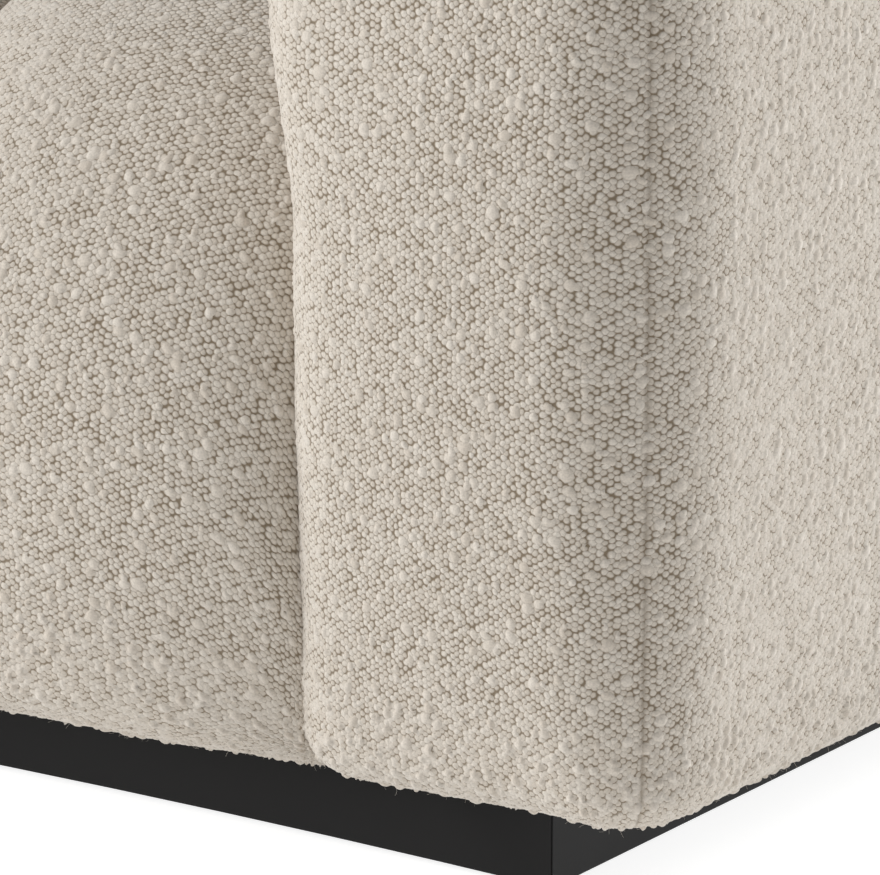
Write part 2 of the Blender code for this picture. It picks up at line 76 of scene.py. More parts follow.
def calc(tree, operation, *terms, **settings):
    """A Math node over its terms."""
    return add(tree, "Math", dict(enumerate(terms)), operation=operation, **settings)


def remap(tree, value, limits=(0.0, 1.0), targets=(0.0, 1.0), curve="LINEAR"):
    """A Map Range node from two limits to two targets."""
    return add(tree, "MapRange", dict(enumerate((value, *limits, *targets))), interpolation_type=curve)


def blend(tree, share, first, second):
    """A mix of two colours."""
    return add(tree, "Mix", {0: share, 6: first, 7: second}, data_type="RGBA").outputs[2]


def noise(tree, place, pitch, detail, **settings):
    """A Noise Texture whose lumps lie a pitch apart, in metres."""
    return add(tree, "TexNoise", {"Vector": place, "Scale": 1 / pitch, "Detail": detail}, **settings)


def new_material(name):
    """An empty material tree with its Principled shader."""
    material = bpy.data.materials.new(name)
    material.use_nodes = True
    return material, material.node_tree, material.node_tree.nodes["Principled BSDF"]


def dress(nodes, material):
    """Gives CAD nodes a finish."""
    for name in nodes:
        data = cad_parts[name].data
        data.materials.clear()
        data.materials.append(material)


PINE_RING = 0.006
PINE_FIBRE = 0.0012
GRAIN_STRETCH = (0.12, 1.0, 0.12)
pine, tree, shader = new_material("planed_pine")
place = add(tree, "TexCoord").outputs["Object"]
along = add(tree, "Mapping", {"Vector": place, "Scale": GRAIN_STRETCH})
ring = noise(tree, along, PINE_RING, 2.0)
fibre = noise(tree, along, PINE_FIBRE, 3.0)
bands = remap(tree, ring, (0.35, 0.65), curve="SMOOTHSTEP")
wood = blend(tree, bands, linear("#c79f6b"), linear("#dcc193"))
grain = add(tree, "Bump", {"Height": fibre, "Strength": 0.25, "Distance": 0.0004})
feed(tree, shader, {"Base Color": wood, "Normal": grain, "Roughness": 0.7})

timber_nodes = ["seat_front_rail", "seat_back_rail", "seat_left_rail", "seat_right_rail", "back_top_rail"]
timber_nodes += ["seat_bearer_1", "seat_bearer_2", "back_post_1", "back_post_2", "back_post_3"]
for side in ("left", "right"):
    timber_nodes += [f"arm_{side}_{part}" for part in ("front_post", "rear_post", "top_rail")]
dress(timber_nodes, pine)


# Panels: 4 to 6 mm brown hardboard, stapled to the posts to carry the foam of the arms and the back.
# Pressed wood fibre gives a mottled brown with fine specks.
FIBRE_CLUMP = 0.003
hardboard, tree, shader = new_material("brown_hardboard")
place = add(tree, "TexCoord").outputs["Object"]
clump = noise(tree, place, FIBRE_CLUMP, 5.0)
speck = remap(tree, clump, (0.3, 0.7))
tone = blend(tree, speck, linear("#6f5136"), linear("#94714c"))
nap = add(tree, "Bump", {"Height": clump, "Strength": 0.2, "Distance": 0.0003})
feed(tree, shader, {"Base Color": tone, "Normal": nap, "Roughness": 0.8})
panel_nodes = ["back_support_panel"]
for side in ("left", "right"):
    panel_nodes += [f"arm_{side}_inner_panel", f"arm_{side}_outer_panel"]
dress(panel_nodes, hardboard)


# Seat springs: zigzag wire, 3.8 mm, hooked to the front and back rails.
# Drawn steel has a dark oil film with brighter streaks along it.
STREAK = 0.004
spring_wire, tree, shader = new_material("oiled_spring_steel")
place = add(tree, "TexCoord").outputs["Object"]
streak = noise(tree, place, STREAK, 3.0)
tone = blend(tree, streak, linear("#4c4d51"), linear("#8f9094"))
shine = remap(tree, streak, (0.2, 0.8), (0.28, 0.46))
feed(tree, shader, {"Base Color": tone, "Roughness": shine, "Metallic": 1.0})
dress([f"seat_spring_{i}" for i in range(1, 11)], spring_wire)


# Felt: a needled pad over the springs, and six thin glides stuck under the plinth.
# Needling mats grey fibres of two shades, with no grain.
FELT_FIBRE = 0.0015
felt, tree, shader = new_material("needled_grey_felt")
place = add(tree, "TexCoord").outputs["Object"]
mat_fibre = noise(tree, place, FELT_FIBRE, 6.0)
speck = remap(tree, mat_fibre, (0.35, 0.65))
tone = blend(tree, speck, linear("#545250"), linear("#7d7a77"))
nap = add(tree, "Bump", {"Height": mat_fibre, "Strength": 0.5, "Distance": 0.0006})
feed(tree, shader, {"Base Color": tone, "Normal": nap, "Roughness": 1.0})
felt_nodes = ["deck_pad"] + [f"glide_{row}_{i}" for row in ("front", "back") for i in (1, 2, 3)]
dress(felt_nodes, felt)


# Dust cover: black spun-bonded cloth stapled under the base.
# Hot rollers press a lattice of small shiny points into it; their shine is painted as a lighter colour, a
# painted sheen.
BOND_PITCH = 0.0016
dust_cloth, tree, shader = new_material("spun_bonded_dust_cloth")
place = add(tree, "TexCoord").outputs["Object"]
points = add(tree, "TexVoronoi", {"Vector": place, "Scale": 1 / BOND_PITCH, "Randomness": 0.1},
             voronoi_dimensions="2D")
bond = remap(tree, points, (0.22, 0.34))
tone = blend(tree, bond, linear("#3a3a3c"), linear("#202021"))
dent = add(tree, "Bump", {"Height": bond, "Strength": 0.4, "Distance": 0.0002})
feed(tree, shader, {"Base Color": tone, "Normal": dent, "Roughness": 0.85})
dress(["dust_cover"], dust_cloth)


# Plinth: six black lacquered boards, mitred at the corners and set back under the upholstery.
# Sprayed satin lacquer has a faint orange peel, and its eased edges catch a line of light.
EASED_EDGE = 0.0008
SHARP_ANGLE = math.radians(30)
ORANGE_PEEL = 0.0022
SPRAY_CLOUD = 0.11
lacquer, tree, shader = new_material("satin_black_lacquer")
place = add(tree, "TexCoord").outputs["Object"]
cloud = noise(tree, place, SPRAY_CLOUD, 4.0)
peel = noise(tree, place, ORANGE_PEEL, 1.0)
tone = blend(tree, cloud, linear("#141414"), linear("#1a1919"))
shine = remap(tree, cloud, (0.3, 0.7), (0.40, 0.50))
skin = add(tree, "Bump", {"Height": peel, "Strength": 0.12, "Distance": 0.0002})
feed(tree, shader, {
    "Base Color": tone, "Roughness": shine, "Normal": skin, "Specular IOR Level": 0.15})


def eased_board(node):
    """A plinth board with its edges eased, in the place of its plain solid."""
    bm = bmesh.new()
    bm.from_mesh(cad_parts[node].data)
    bmesh.ops.remove_doubles(bm, verts=bm.verts, dist=1e-5)
    bmesh.ops.dissolve_limit(bm, angle_limit=math.radians(0.2), verts=bm.verts, edges=bm.edges)
    sharp = [edge for edge in bm.edges if edge.calc_face_angle(0.0) > SHARP_ANGLE]
    bmesh.ops.bevel(bm, geom=sharp, offset=EASED_EDGE, segments=2, profile=0.5, affect="EDGES")
    mesh = bpy.data.meshes.new(f"{node}_board")
    bm.to_mesh(mesh)
    bm.free()
    mesh.shade_smooth()
    mesh.set_sharp_from_angle(angle=SHARP_ANGLE)
    mesh.materials.append(lacquer)
    board = bpy.data.objects.new(f"{node}_board", mesh)
    bpy.context.scene.collection.objects.link(board)
    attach(board, "root")
    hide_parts(node)


for part in ("front", "back", "left_end", "right_end", "brace_1", "brace_2"):
    eased_board(f"plinth_{part}")


# Cover cloth: a chunky cream boucle, woven plain from loopy yarn, used for every padded piece.
# Loops stand up as beads in staggered columns, with thick slubs over them and gaps between, darkened with
# painted shade.
COLUMN_PITCH = 0.0029
LOOP_PITCH = 0.0039
LOOP_SIZE = 0.0020
LOOP_JITTER = (0.24, 0.30, 0.0)
LOOP_SHRINK = (1.22, 0.93)
LOOP_HEIGHT = 0.0005
LOOP_RISE = (0.65 * LOOP_HEIGHT, 1.25 * LOOP_HEIGHT)
DOME_POWER = 2.4
GAP_EDGE = (0.46, 1.16)
GAP_POWER = 1.6
LINE_EDGE = 0.34
LINE_DEPTH = 0.5
PATCH_PITCH = 0.014
PATCH_RANGE = (0.34, 0.66)
PATCH_SPREAD = (1.03, 0.91)
PATCH_SLUBS = (0.82, 0.38)
SLUB_PITCH = 0.0086
SLUB_SIZE = (0.22, 0.46)
SLUB_HEIGHT = 0.0011
SLUB_WAVER = 1.6
SLUB_POWER = 0.7
SLUB_RIM_SHADE = 0.4
SLUB_EDGE = (1.15, 0.95)
SLUB_COVER = (0.0, 0.5)
PILE_PITCH = 0.007
PILE_HEIGHT = 0.0006
WAVER_SPAN = 0.0028
WAVER_PITCH = 0.011
# Where the cloth is marked tight, loops and slubs lie flatter and the gaps are thinner and lighter: painted
# light falling into them.
CLOSED_LOOP = 0.45
CLOSED_SLUB = 0.8
CLOSED_AND_LIT_SHUT = 0.6
THIN_CHANCE = (0.3, 0.8)
THIN_SHARE = (1.0, 0.2)
SECOND_SEED = (290.0, 0.0, 0.0)
HALF = (0.5, 0.5, 0.5)


def vector(tree, operation, first, second=None):
    """A Vector Math node over one or two terms. The second term of SCALE is a plain number."""
    feeds = {0: first}
    if second is not None:
        feeds[3 if operation == "SCALE" else 1] = second
    return add(tree, "VectorMath", feeds, operation=operation)


def nearest_loops(tree, spot):
    """The nearest loop of each of two staggered sets of columns: how far off it is, and its chance."""
    found = []
    cell = (2 * COLUMN_PITCH, LOOP_PITCH, 1.0)
    size = (cell[0] / LOOP_SIZE, cell[1] / LOOP_SIZE, 0.0)
    staggered = (COLUMN_PITCH, LOOP_PITCH / 2, 0.0)
    for start, set_seed in (((0.0, 0.0, 0.0), (0.0, 0.0, 0.0)), (staggered, SECOND_SEED)):
        shifted = vector(tree, "SUBTRACT", spot, start)
        where = vector(tree, "DIVIDE", shifted, cell)
        above = vector(tree, "ADD", where, HALF)
        index = vector(tree, "FLOOR", above)
        seed = vector(tree, "ADD", index, set_seed)
        chance = add(tree, "TexWhiteNoise", {"Vector": seed}, noise_dimensions="2D")
        shake = vector(tree, "SUBTRACT", chance.outputs["Color"], HALF)
        shake = vector(tree, "MULTIPLY", shake, LOOP_JITTER)
        middle = vector(tree, "ADD", index, shake)
        off = vector(tree, "SUBTRACT", where, middle)
        off = vector(tree, "MULTIPLY", off, size)
        far = vector(tree, "LENGTH", off).outputs["Value"]
        drawn = chance.outputs["Value"]
        shrink = remap(tree, drawn, targets=LOOP_SHRINK)
        far = calc(tree, "MULTIPLY", far, shrink)
        found.append((far, drawn))
    return found


def loop_weave(tree, spot, patch):
    """Domes of the loops, the painted shade of the gaps between them and of their rims, and the chance of
    each loop.
    """
    (near, near_chance), (other, other_chance) = nearest_loops(tree, spot)
    is_other = calc(tree, "GREATER_THAN", near, other)
    chance = add(tree, "Mix", {0: is_other, 2: near_chance, 3: other_chance})
    nearest = calc(tree, "MINIMUM", near, other)
    spread = remap(tree, patch, PATCH_RANGE, PATCH_SPREAD)
    nearest = calc(tree, "MULTIPLY", nearest, spread)
    # Painted shade: darker towards each loop's rim and in the gaps between loops.
    gap_shade = remap(tree, nearest, GAP_EDGE, curve="SMOOTHSTEP")
    gap_shade = calc(tree, "POWER", gap_shade, GAP_POWER)
    # A thin dip where loops of the two sets meet, also darkened with painted shade.
    apart = calc(tree, "SUBTRACT", near, other)
    apart = calc(tree, "ABSOLUTE", apart)
    line = remap(tree, apart, (0.0, LINE_EDGE), (LINE_DEPTH, 0.0), curve="SMOOTHSTEP")
    gap_shade = calc(tree, "MAXIMUM", gap_shade, line)
    dome = calc(tree, "POWER", nearest, DOME_POWER)
    dome = calc(tree, "SUBTRACT", 1.0, dome, use_clamp=True)
    line = calc(tree, "SUBTRACT", 1.0, line)
    dome = calc(tree, "MULTIPLY", dome, line)
    return dome, gap_shade, chance


def slubs(tree, spot, patch):
    """Thick lumps of yarn over the loops: their swell, the cloth under them and a random tone."""
    lump = add(tree, "TexVoronoi", {"Vector": spot, "Scale": 1 / SLUB_PITCH, "Randomness": 1.0},
               voronoi_dimensions="2D")
    pick = add(tree, "SeparateXYZ", {0: lump.outputs["Color"]})
    limit = remap(tree, patch, PATCH_RANGE, PATCH_SLUBS)
    kept = calc(tree, "GREATER_THAN", pick.outputs[0], limit)
    wide = remap(tree, pick.outputs[1], targets=SLUB_SIZE)
    share = calc(tree, "DIVIDE", lump.outputs["Distance"], wide)
    slub = calc(tree, "POWER", share, 2.0)
    slub = calc(tree, "SUBTRACT", 1.0, slub, use_clamp=True)
    slub = calc(tree, "POWER", slub, SLUB_POWER)
    slub = calc(tree, "MULTIPLY", slub, kept)
    under = remap(tree, share, SLUB_EDGE)
    under = calc(tree, "MULTIPLY", under, kept)
    return slub, under, pick.outputs[2]


def boucle_pattern(tree, cloth, closed_and_lit):
    """Height in metres, painted shade of the gaps, and slubs at a place on the cloth, for a material or a
    geometry tree.

    Where the weave is tight, as on a hem, loops lie flatter; the same value thins the gaps and lightens their
    colour, painted light falling into the gaps on faces that a lamp lights squarely.
    """
    sway = noise(tree, cloth, WAVER_PITCH, 2.5, noise_dimensions="2D")
    sway = vector(tree, "SUBTRACT", sway.outputs["Color"], HALF)
    sway = vector(tree, "SCALE", sway, WAVER_SPAN)
    spot = vector(tree, "ADD", cloth, sway)
    patch = noise(tree, cloth, PATCH_PITCH, 2.0, noise_dimensions="2D").outputs["Fac"]
    dome, gap_shade, chance = loop_weave(tree, spot, patch)
    lumpy = vector(tree, "SCALE", sway, SLUB_WAVER)
    lumpy = vector(tree, "ADD", cloth, lumpy)
    slub, under, tone = slubs(tree, lumpy, patch)
    over = remap(tree, slub, SLUB_COVER)

    rise = remap(tree, chance, targets=LOOP_RISE)
    flat = calc(tree, "SUBTRACT", 1.0, under)
    loop = calc(tree, "MULTIPLY", dome, rise)
    loop = calc(tree, "MULTIPLY", loop, flat)
    calm = remap(tree, closed_and_lit, targets=(1.0, CLOSED_LOOP))
    loop = calc(tree, "MULTIPLY", loop, calm)
    stand = remap(tree, closed_and_lit, targets=(SLUB_HEIGHT, CLOSED_SLUB * SLUB_HEIGHT))
    height = calc(tree, "MULTIPLY_ADD", slub, stand, loop)
    pile = add(tree, "TexNoise", {
        "Vector": cloth, "Scale": 1 / PILE_PITCH, "Detail": 4.5, "Roughness": 0.62}, noise_dimensions="2D")
    height = calc(tree, "MULTIPLY_ADD", pile, PILE_HEIGHT, height)

    # Painted shade round each slub, where it overhangs the loops.
    ring = calc(tree, "MULTIPLY", under, SLUB_RIM_SHADE)
    gap_shade = calc(tree, "MAXIMUM", gap_shade, ring)
    # Thinner gaps where marked tight: partly a tighter weave, partly painted light filling them.
    shut = calc(tree, "MULTIPLY", closed_and_lit, CLOSED_AND_LIT_SHUT)
    gap_shade = remap(tree, gap_shade, (shut, 1.0))
    thin = remap(tree, chance, THIN_CHANCE, THIN_SHARE)
    thin = add(tree, "Mix", {0: closed_and_lit, 2: 1.0, 3: thin})
    gap_shade = calc(tree, "MULTIPLY", gap_shade, thin)
    return {"height": height, "gap_shade": gap_shade, "over": over, "chance": chance, "tone": tone}


# Colour of the gaps between loops: painted shade of the weave's hollows.
GAP_SHADE = linear("#80725f")
# Lighter gap colour where marked tight: painted light falling into the gaps.
CLOSED_AND_LIT_GAP = linear("#8f8270")
YARN = linear("#cac0b3")
PALE_YARN = linear("#d6cec3")
FUZZ_PITCH = 0.0011
FUZZ_SHADE = (0.86, 1.10)
FINE_BUMP = 0.45
CLOSED_BUMP = 0.75
boucle, tree, shader = new_material("cream_boucle")
cloth = add(tree, "UVMap", uv_map="cloth").outputs[0]
fine = add(tree, "Attribute", attribute_name="fine").outputs["Fac"]
closed_and_lit = add(tree, "Attribute", attribute_name="closed_and_lit").outputs["Fac"]
weave = boucle_pattern(tree, cloth, closed_and_lit)
yarn = blend(tree, weave["chance"], YARN, PALE_YARN)
# The gaps take a painted shade colour, lighter where light is painted into them.
depth = blend(tree, closed_and_lit, GAP_SHADE, CLOSED_AND_LIT_GAP)
# Painted shade along the arm's seam groove.
seam_shade = add(tree, "Attribute", attribute_name="seam_shade").outputs["Fac"]
# Where gaps or the arm's seam lie, the colour turns to painted shade.
sunk = calc(tree, "MAXIMUM", weave["gap_shade"], seam_shade)
colour = blend(tree, sunk, yarn, depth)
thick = blend(tree, weave["tone"], YARN, PALE_YARN)
colour = blend(tree, weave["over"], colour, thick)
fuzz = noise(tree, cloth, FUZZ_PITCH, 3.0, noise_dimensions="2D")
fuzz = remap(tree, fuzz, (0.25, 0.75), FUZZ_SHADE)
colour = vector(tree, "SCALE", colour, fuzz)
coarse = remap(tree, fine, targets=(1.0, FINE_BUMP))
calm = remap(tree, closed_and_lit, targets=(1.0, CLOSED_BUMP))
coarse = calc(tree, "MULTIPLY", coarse, calm)
relief = add(tree, "Bump", {"Height": weave["height"], "Strength": coarse, "Distance": 1.0})
feed(tree, shader, {"Base Color": colour, "Normal": relief, "Roughness": 0.95, "Specular IOR Level": 0.2})
feed(tree, shader, {"Sheen Weight": 0.3, "Sheen Roughness": 0.5})

FOAM_LUMPS_A_METRE = 22.0
FOAM_UNEVENNESS = 0.0016
FIBRES_A_SQUARE_METRE = 24000.0
FIBRE_RADIUS = 0.00005
FIBRE_BEND = (0.0014, 0.0005, 0.0020)
FIBRE_TIP = (0.0004, 0.0016, 0.0040)
FIBRE_STRETCH = (0.4, 1.1)
FIBRE_TURN = 3.1
relief_tree = bpy.data.node_groups.new("boucle_relief", "GeometryNodeTree")
relief_tree.interface.new_socket("Geometry", in_out="INPUT", socket_type="NodeSocketGeometry")
relief_input = relief_tree.interface.new_socket("Relief", in_out="INPUT", socket_type="NodeSocketFloat")
foam_input = relief_tree.interface.new_socket(
    "Foam unevenness", in_out="INPUT", socket_type="NodeSocketFloat")
relief_tree.interface.new_socket("Geometry", in_out="OUTPUT", socket_type="NodeSocketGeometry")
tree = relief_tree
start = add(tree, "NodeGroupInput")
cloth = add(tree, "GeometryNodeInputNamedAttribute", {"Name": "cloth"}, data_type="FLOAT_VECTOR").outputs[0]
fine, loose, closed_and_lit, fray = [
    add(tree, "GeometryNodeInputNamedAttribute", {"Name": label}, data_type="FLOAT").outputs[0]
    for label in ("fine", "loose", "closed_and_lit", "fray")
]
weave = boucle_pattern(tree, cloth, closed_and_lit)
raised = calc(tree, "MULTIPLY", weave["height"], fine)
raised = calc(tree, "MULTIPLY", raised, start.outputs["Relief"])
place = add(tree, "GeometryNodeInputPosition")
foam = add(tree, "TexNoise", {"Vector": place, "Scale": FOAM_LUMPS_A_METRE, "Detail": 1.0})
foam = calc(tree, "SUBTRACT", foam, 0.5)
foam = calc(tree, "MULTIPLY", foam, start.outputs["Foam unevenness"])
foam = calc(tree, "MULTIPLY", foam, loose)
raised = calc(tree, "ADD", raised, foam)
out = add(tree, "GeometryNodeInputNormal")
shift = vector(tree, "SCALE", out, raised)
moved = add(tree, "GeometryNodeSetPosition", {"Geometry": start.outputs["Geometry"], "Offset": shift})
crowd = calc(tree, "MULTIPLY", fray, FIBRES_A_SQUARE_METRE)
scatter = {"Mesh": moved, "Density": crowd, "Seed": 5}
roots = add(tree, "GeometryNodeDistributePointsOnFaces", scatter).outputs["Points"]
for layer in ("cloth", "OFBake"):
    roots = add(tree, "GeometryNodeRemoveAttribute", {"Geometry": roots, "Name": layer})
bend = add(tree, "GeometryNodeCurveQuadraticBezier", {
    "Resolution": 5, "Start": (0.0, 0.0, 0.0), "Middle": FIBRE_BEND, "End": FIBRE_TIP})
thread = add(tree, "GeometryNodeCurvePrimitiveCircle", {"Resolution": 3, "Radius": FIBRE_RADIUS})
fibre = add(tree, "GeometryNodeCurveToMesh", {"Curve": bend, "Profile Curve": thread})
lie = add(tree, "FunctionNodeRandomValue", {"Min": [-FIBRE_TURN] * 3, "Max": [FIBRE_TURN] * 3, "Seed": 6},
          data_type="FLOAT_VECTOR").outputs[0]
stretch = add(tree, "FunctionNodeRandomValue", {2: FIBRE_STRETCH[0], 3: FIBRE_STRETCH[1], "Seed": 7},
              data_type="FLOAT").outputs[1]
fibres = add(tree, "GeometryNodeInstanceOnPoints", {
    "Points": roots, "Instance": fibre, "Rotation": lie, "Scale": stretch})
both = add(tree, "GeometryNodeJoinGeometry", {"Geometry": moved})
feed(tree, both, {"Geometry": fibres})
whole = add(tree, "GeometryNodeRealizeInstances", {"Geometry": both})
clad = add(tree, "GeometryNodeSetMaterial", {"Geometry": whole, "Material": boucle})
add(tree, "NodeGroupOutput", {"Geometry": clad})


def mesh_of(name, points, faces, layers, values, layer_faces=None):
    """A mesh from points, faces as index lists, UV rows that these or other lists pick, and point values."""
    mesh = bpy.data.meshes.new(name)
    corners = np.concatenate([np.asarray(face).ravel() for face in faces])
    sizes = np.concatenate([np.full(len(face), np.asarray(face).shape[1]) for face in faces])
    mesh.vertices.add(len(points))
    mesh.vertices.foreach_set("co", np.asarray(points, np.float32).ravel())
    mesh.loops.add(len(corners))
    mesh.loops.foreach_set("vertex_index", corners.astype(np.int32))
    mesh.polygons.add(len(sizes))
    mesh.polygons.foreach_set("loop_start", (np.cumsum(sizes) - sizes).astype(np.int32))
    mesh.update(calc_edges=True)
    picked = np.concatenate([np.asarray(face).ravel() for face in layer_faces or faces])
    for layer, places in layers.items():
        data = mesh.uv_layers.new(name=layer).data
        data.foreach_set("uv", np.asarray(places, np.float32)[picked].ravel())
    for label, amounts in values.items():
        attribute = mesh.attributes.new(label, "FLOAT", "POINT")
        attribute.data.foreach_set("value", np.asarray(amounts, np.float32))
    mesh.shade_smooth()
    return mesh


def cover(name, node, mesh):
    """Weaves the relief into a padded piece and puts it in the place of its plain solid."""
    piece = bpy.data.objects.new(name, mesh)
    bpy.context.scene.collection.objects.link(piece)
    weaving = piece.modifiers.new("weaving", "NODES")
    weaving.node_group = relief_tree
    weaving[relief_input.identifier] = 1.0
    weaving[foam_input.identifier] = FOAM_UNEVENNESS
    shown = piece.evaluated_get(bpy.context.evaluated_depsgraph_get())
    woven = bpy.data.meshes.new_from_object(shown)
    piece.modifiers.clear()
    piece.data = woven
    woven.name = name
    bpy.data.meshes.remove(mesh)
    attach(piece, "root")
    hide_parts(node)


# Seat channels: six foam rolls side by side, each in a sewn tube of cloth that is pulled down at both
# edges, tacked under the front rail and run back below the back cushions.
BASE_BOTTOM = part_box("seat_front_rail")[0].z
SEAT_HEIGHT = 0.475
FRONT_RADIUS = 4.947
SEAT_FACE = FRONT_RADIUS - 0.100
BACK_FACE = SEAT_FACE + 0.540
SEAT_REAR = BACK_FACE + 0.040
RAIL_FRONT = SEAT_FACE + 0.110
REAR_FACE = BACK_FACE + 0.320
CURVE_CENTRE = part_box("plinth_back")[1].y - (REAR_FACE - 0.060)
CHANNELS = 6
CHANNEL_PITCH = 0.290
ARM_WIDTH = 0.265
HALF_ANGLE = CHANNELS * CHANNEL_PITCH / 2 / SEAT_FACE + math.asin(ARM_WIDTH / SEAT_FACE)
CREASE_DEPTH = 0.065
CROWN_FULLNESS = 2.35
SEAT_ROLL = 0.250
SEAT_TUCK = 0.006
SEAT_FALL = 0.016
SEAT_HEM = 0.046
CREASE_HEM = 0.040
CREASE_HEM_SINK = 0.020
END_DEPTH = 0.055
END_HEM = 0.012
END_HEM_SINK = 0.046
UNDER_ARM = 0.024
HEM_BAND = 0.190
DECK_LEVEL = 0.266
CREASE_EASE = 0.006
END_FULLNESS = 2.2
HEM_FADE = 0.120
HEM_TIGHT = 0.060
HEM_EASE = 0.020
HEM_RELIEF = 1.2
HEM_CLOSED = 0.6
FRAY_FROM = 0.055
FRAY_TO = 0.120
FRAY_START = 0.010
FRAY_FADE = 0.030
LEFT_CLOSED_AND_LIT = 0.5
LEFT_CLOSED_FROM = 0.050
LEFT_CLOSED_FADE = 0.140
FINE_FADE = 0.030
FINE_STEP = 0.00105
COARSE_STEP = 0.006
SEAT_DETAIL = 0.520
SEAT_SOFT_REACH = 14
MILLIMETRE = 0.001
CLOTH_SHIFT = (0.731, 0.417)
UNDERSIDE_SHIFT = 0.100
END_BAKE = 0.88
BAKE_GAP = 0.01


def soften(line, reach):
    """A line of evenly spaced rows, averaged over a reach of rows, with its ends kept."""
    window = np.hanning(2 * reach + 1)
    window /= window.sum()
    head = 2 * line[:1] - line[reach:0:-1]
    tail = 2 * line[-1:] - line[-2:-reach - 2:-1]
    padded = np.concatenate([head, line, tail])
    return np.stack([np.convolve(padded[:, k], window, "valid") for k in range(line.shape[1])], 1)


def lengths(line):
    """Distance along a line at each of its points."""
    return np.concatenate([[0.0], np.cumsum(np.hypot(*np.diff(line[:, :2], axis=0).T))])


def stations(length, spacing):
    """Places along a length, stepped by a spacing that may change along it."""
    places = [0.0]
    while places[-1] < length:
        places.append(places[-1] + spacing(places[-1]))
    return np.array(places) * (length / places[-1])


def along_line(line, places, guide=None):
    """Rows of a line at distances along it, or along a guide that has the same rows."""
    run_length = lengths(line if guide is None else guide)
    return np.stack([np.interp(places, run_length, line[:, k]) for k in range(line.shape[1])], 1)


def smooth_step(value):
    """Eases from 0 to 1 as a value does, and stays there."""
    value = np.clip(value, 0.0, 1.0)
    return value * value * (3 - 2 * value)


def plane_angle(share, radius, inset):
    """Angle where a radius meets an upright plane between the two ends of the sofa."""
    return share * HALF_ANGLE - np.arcsin(share * inset / radius)


def seat_line(sink, hem_sink, hem_radius):
    """Section of the seat's cover, from under the front rail to the foot of the back, sunk at a crease.

    Its rows lie about a millimetre apart.
    """
    face = SEAT_FACE + sink
    crest = SEAT_HEIGHT - sink
    roll_level = crest - SEAT_ROLL
    hem = (SEAT_FACE + hem_sink + SEAT_TUCK + hem_radius, BASE_BOTTOM + hem_radius)
    turn = np.radians(np.linspace(270, 180, 70))
    part = np.linspace(0, 1, 170)
    lean = (sink - hem_sink) * (1 - part) ** 1.5
    rise = np.radians(np.linspace(0, 90, 330))
    stretches = [
        np.linspace((RAIL_FRONT, BASE_BOTTOM), (hem[0], BASE_BOTTOM), 50),
        np.stack([hem[0] + hem_radius * np.cos(turn), hem[1] + hem_radius * np.sin(turn)], 1),
        np.stack([face - lean + SEAT_TUCK * (1 - part) ** 2, hem[1] + (roll_level - hem[1]) * part], 1),
        np.stack([face + SEAT_ROLL * (1 - np.cos(rise)), roll_level + SEAT_ROLL * np.sin(rise)], 1),
        np.linspace((face + SEAT_ROLL, crest), (SEAT_REAR, crest - SEAT_FALL), 260),
    ]
    return soften(np.concatenate(stretches), SEAT_SOFT_REACH)


def crown_turns(depth, spacing):
    """Turns across a channel's round crown, from crease to crease, evenly spaced on the cloth."""
    turn = np.linspace(-math.pi / 2, math.pi / 2, 2001)
    outline = np.stack([CHANNEL_PITCH / 2 * np.sin(turn), depth * np.cos(turn)], 1)
    distance = lengths(outline)
    places = stations(distance[-1], lambda at: spacing)
    return np.interp(places, distance, turn), places - distance[-1] / 2


def at_sofa_end(index, turns):
    """Which rows of a channel are on the side that meets an arm."""
    if index == 0:
        return turns < 0
    if index == CHANNELS - 1:
        return turns > 0
    return np.zeros(len(turns), bool)


def channel_section(index, turns, places, lines, insides, hem_band):
    """Radius and level round a channel, by rows from crease to crease: its crowned cover, then its inside."""
    crest, crease, end = lines
    inner, inner_end = insides
    rows = len(turns)
    aside = np.abs(np.sin(turns))
    at_end = at_sofa_end(index, turns)
    outer = along_line(crest, places)
    sunk = np.where(at_end[:, None, None], along_line(end, places, crest), along_line(crease, places, crest))
    at_hem = smooth_step((hem_band + HEM_FADE / 2 - places) / HEM_FADE) * (hem_band > 0)
    crown = (1 - (1 - aside ** CROWN_FULLNESS) ** (1 / CROWN_FULLNESS))[:, None]
    flatter = aside[:, None] ** END_FULLNESS
    weight = np.where(at_end[:, None], crown + (flatter - crown) * at_hem, crown)
    covered = outer + (sunk - outer) * weight[..., None]
    inside = np.broadcast_to(inner, (rows, *inner.shape)).copy()
    inside[at_end & np.isclose(aside, 1.0)] = inner_end
    return np.concatenate([covered, inside], 1)


def channel_layers(index, across, distance, section):
    """Cloth and bake places of a channel's cover by rows, then flat ones of its two ends."""
    cloth = np.stack(np.broadcast_arrays(
        across[:, None] * (section[..., 0] / SEAT_FACE) + index * CLOTH_SHIFT[0],
        distance[None, :] + index * CLOTH_SHIFT[1],
    ), -1)
    bake = np.stack(np.broadcast_arrays(
        (across[:, None] - across[0]) / (across[-1] - across[0]) * END_BAKE,
        distance[None, :] / distance[-1],
    ), -1)
    flat = section[[0, -1]]
    low, high = flat.min((0, 1)), flat.max((0, 1))
    tile = (flat - low) / (high - low) * (1 - END_BAKE - BAKE_GAP, 0.5 - BAKE_GAP)
    tile += np.array([(END_BAKE + BAKE_GAP, 0.0), (END_BAKE + BAKE_GAP, 0.5 + BAKE_GAP)])[:, None]
    return {
        "cloth": np.concatenate([cloth.reshape(-1, 2), flat.reshape(-1, 2)]),
        "OFBake": np.concatenate([bake.reshape(-1, 2), tile.reshape(-1, 2)]),
    }


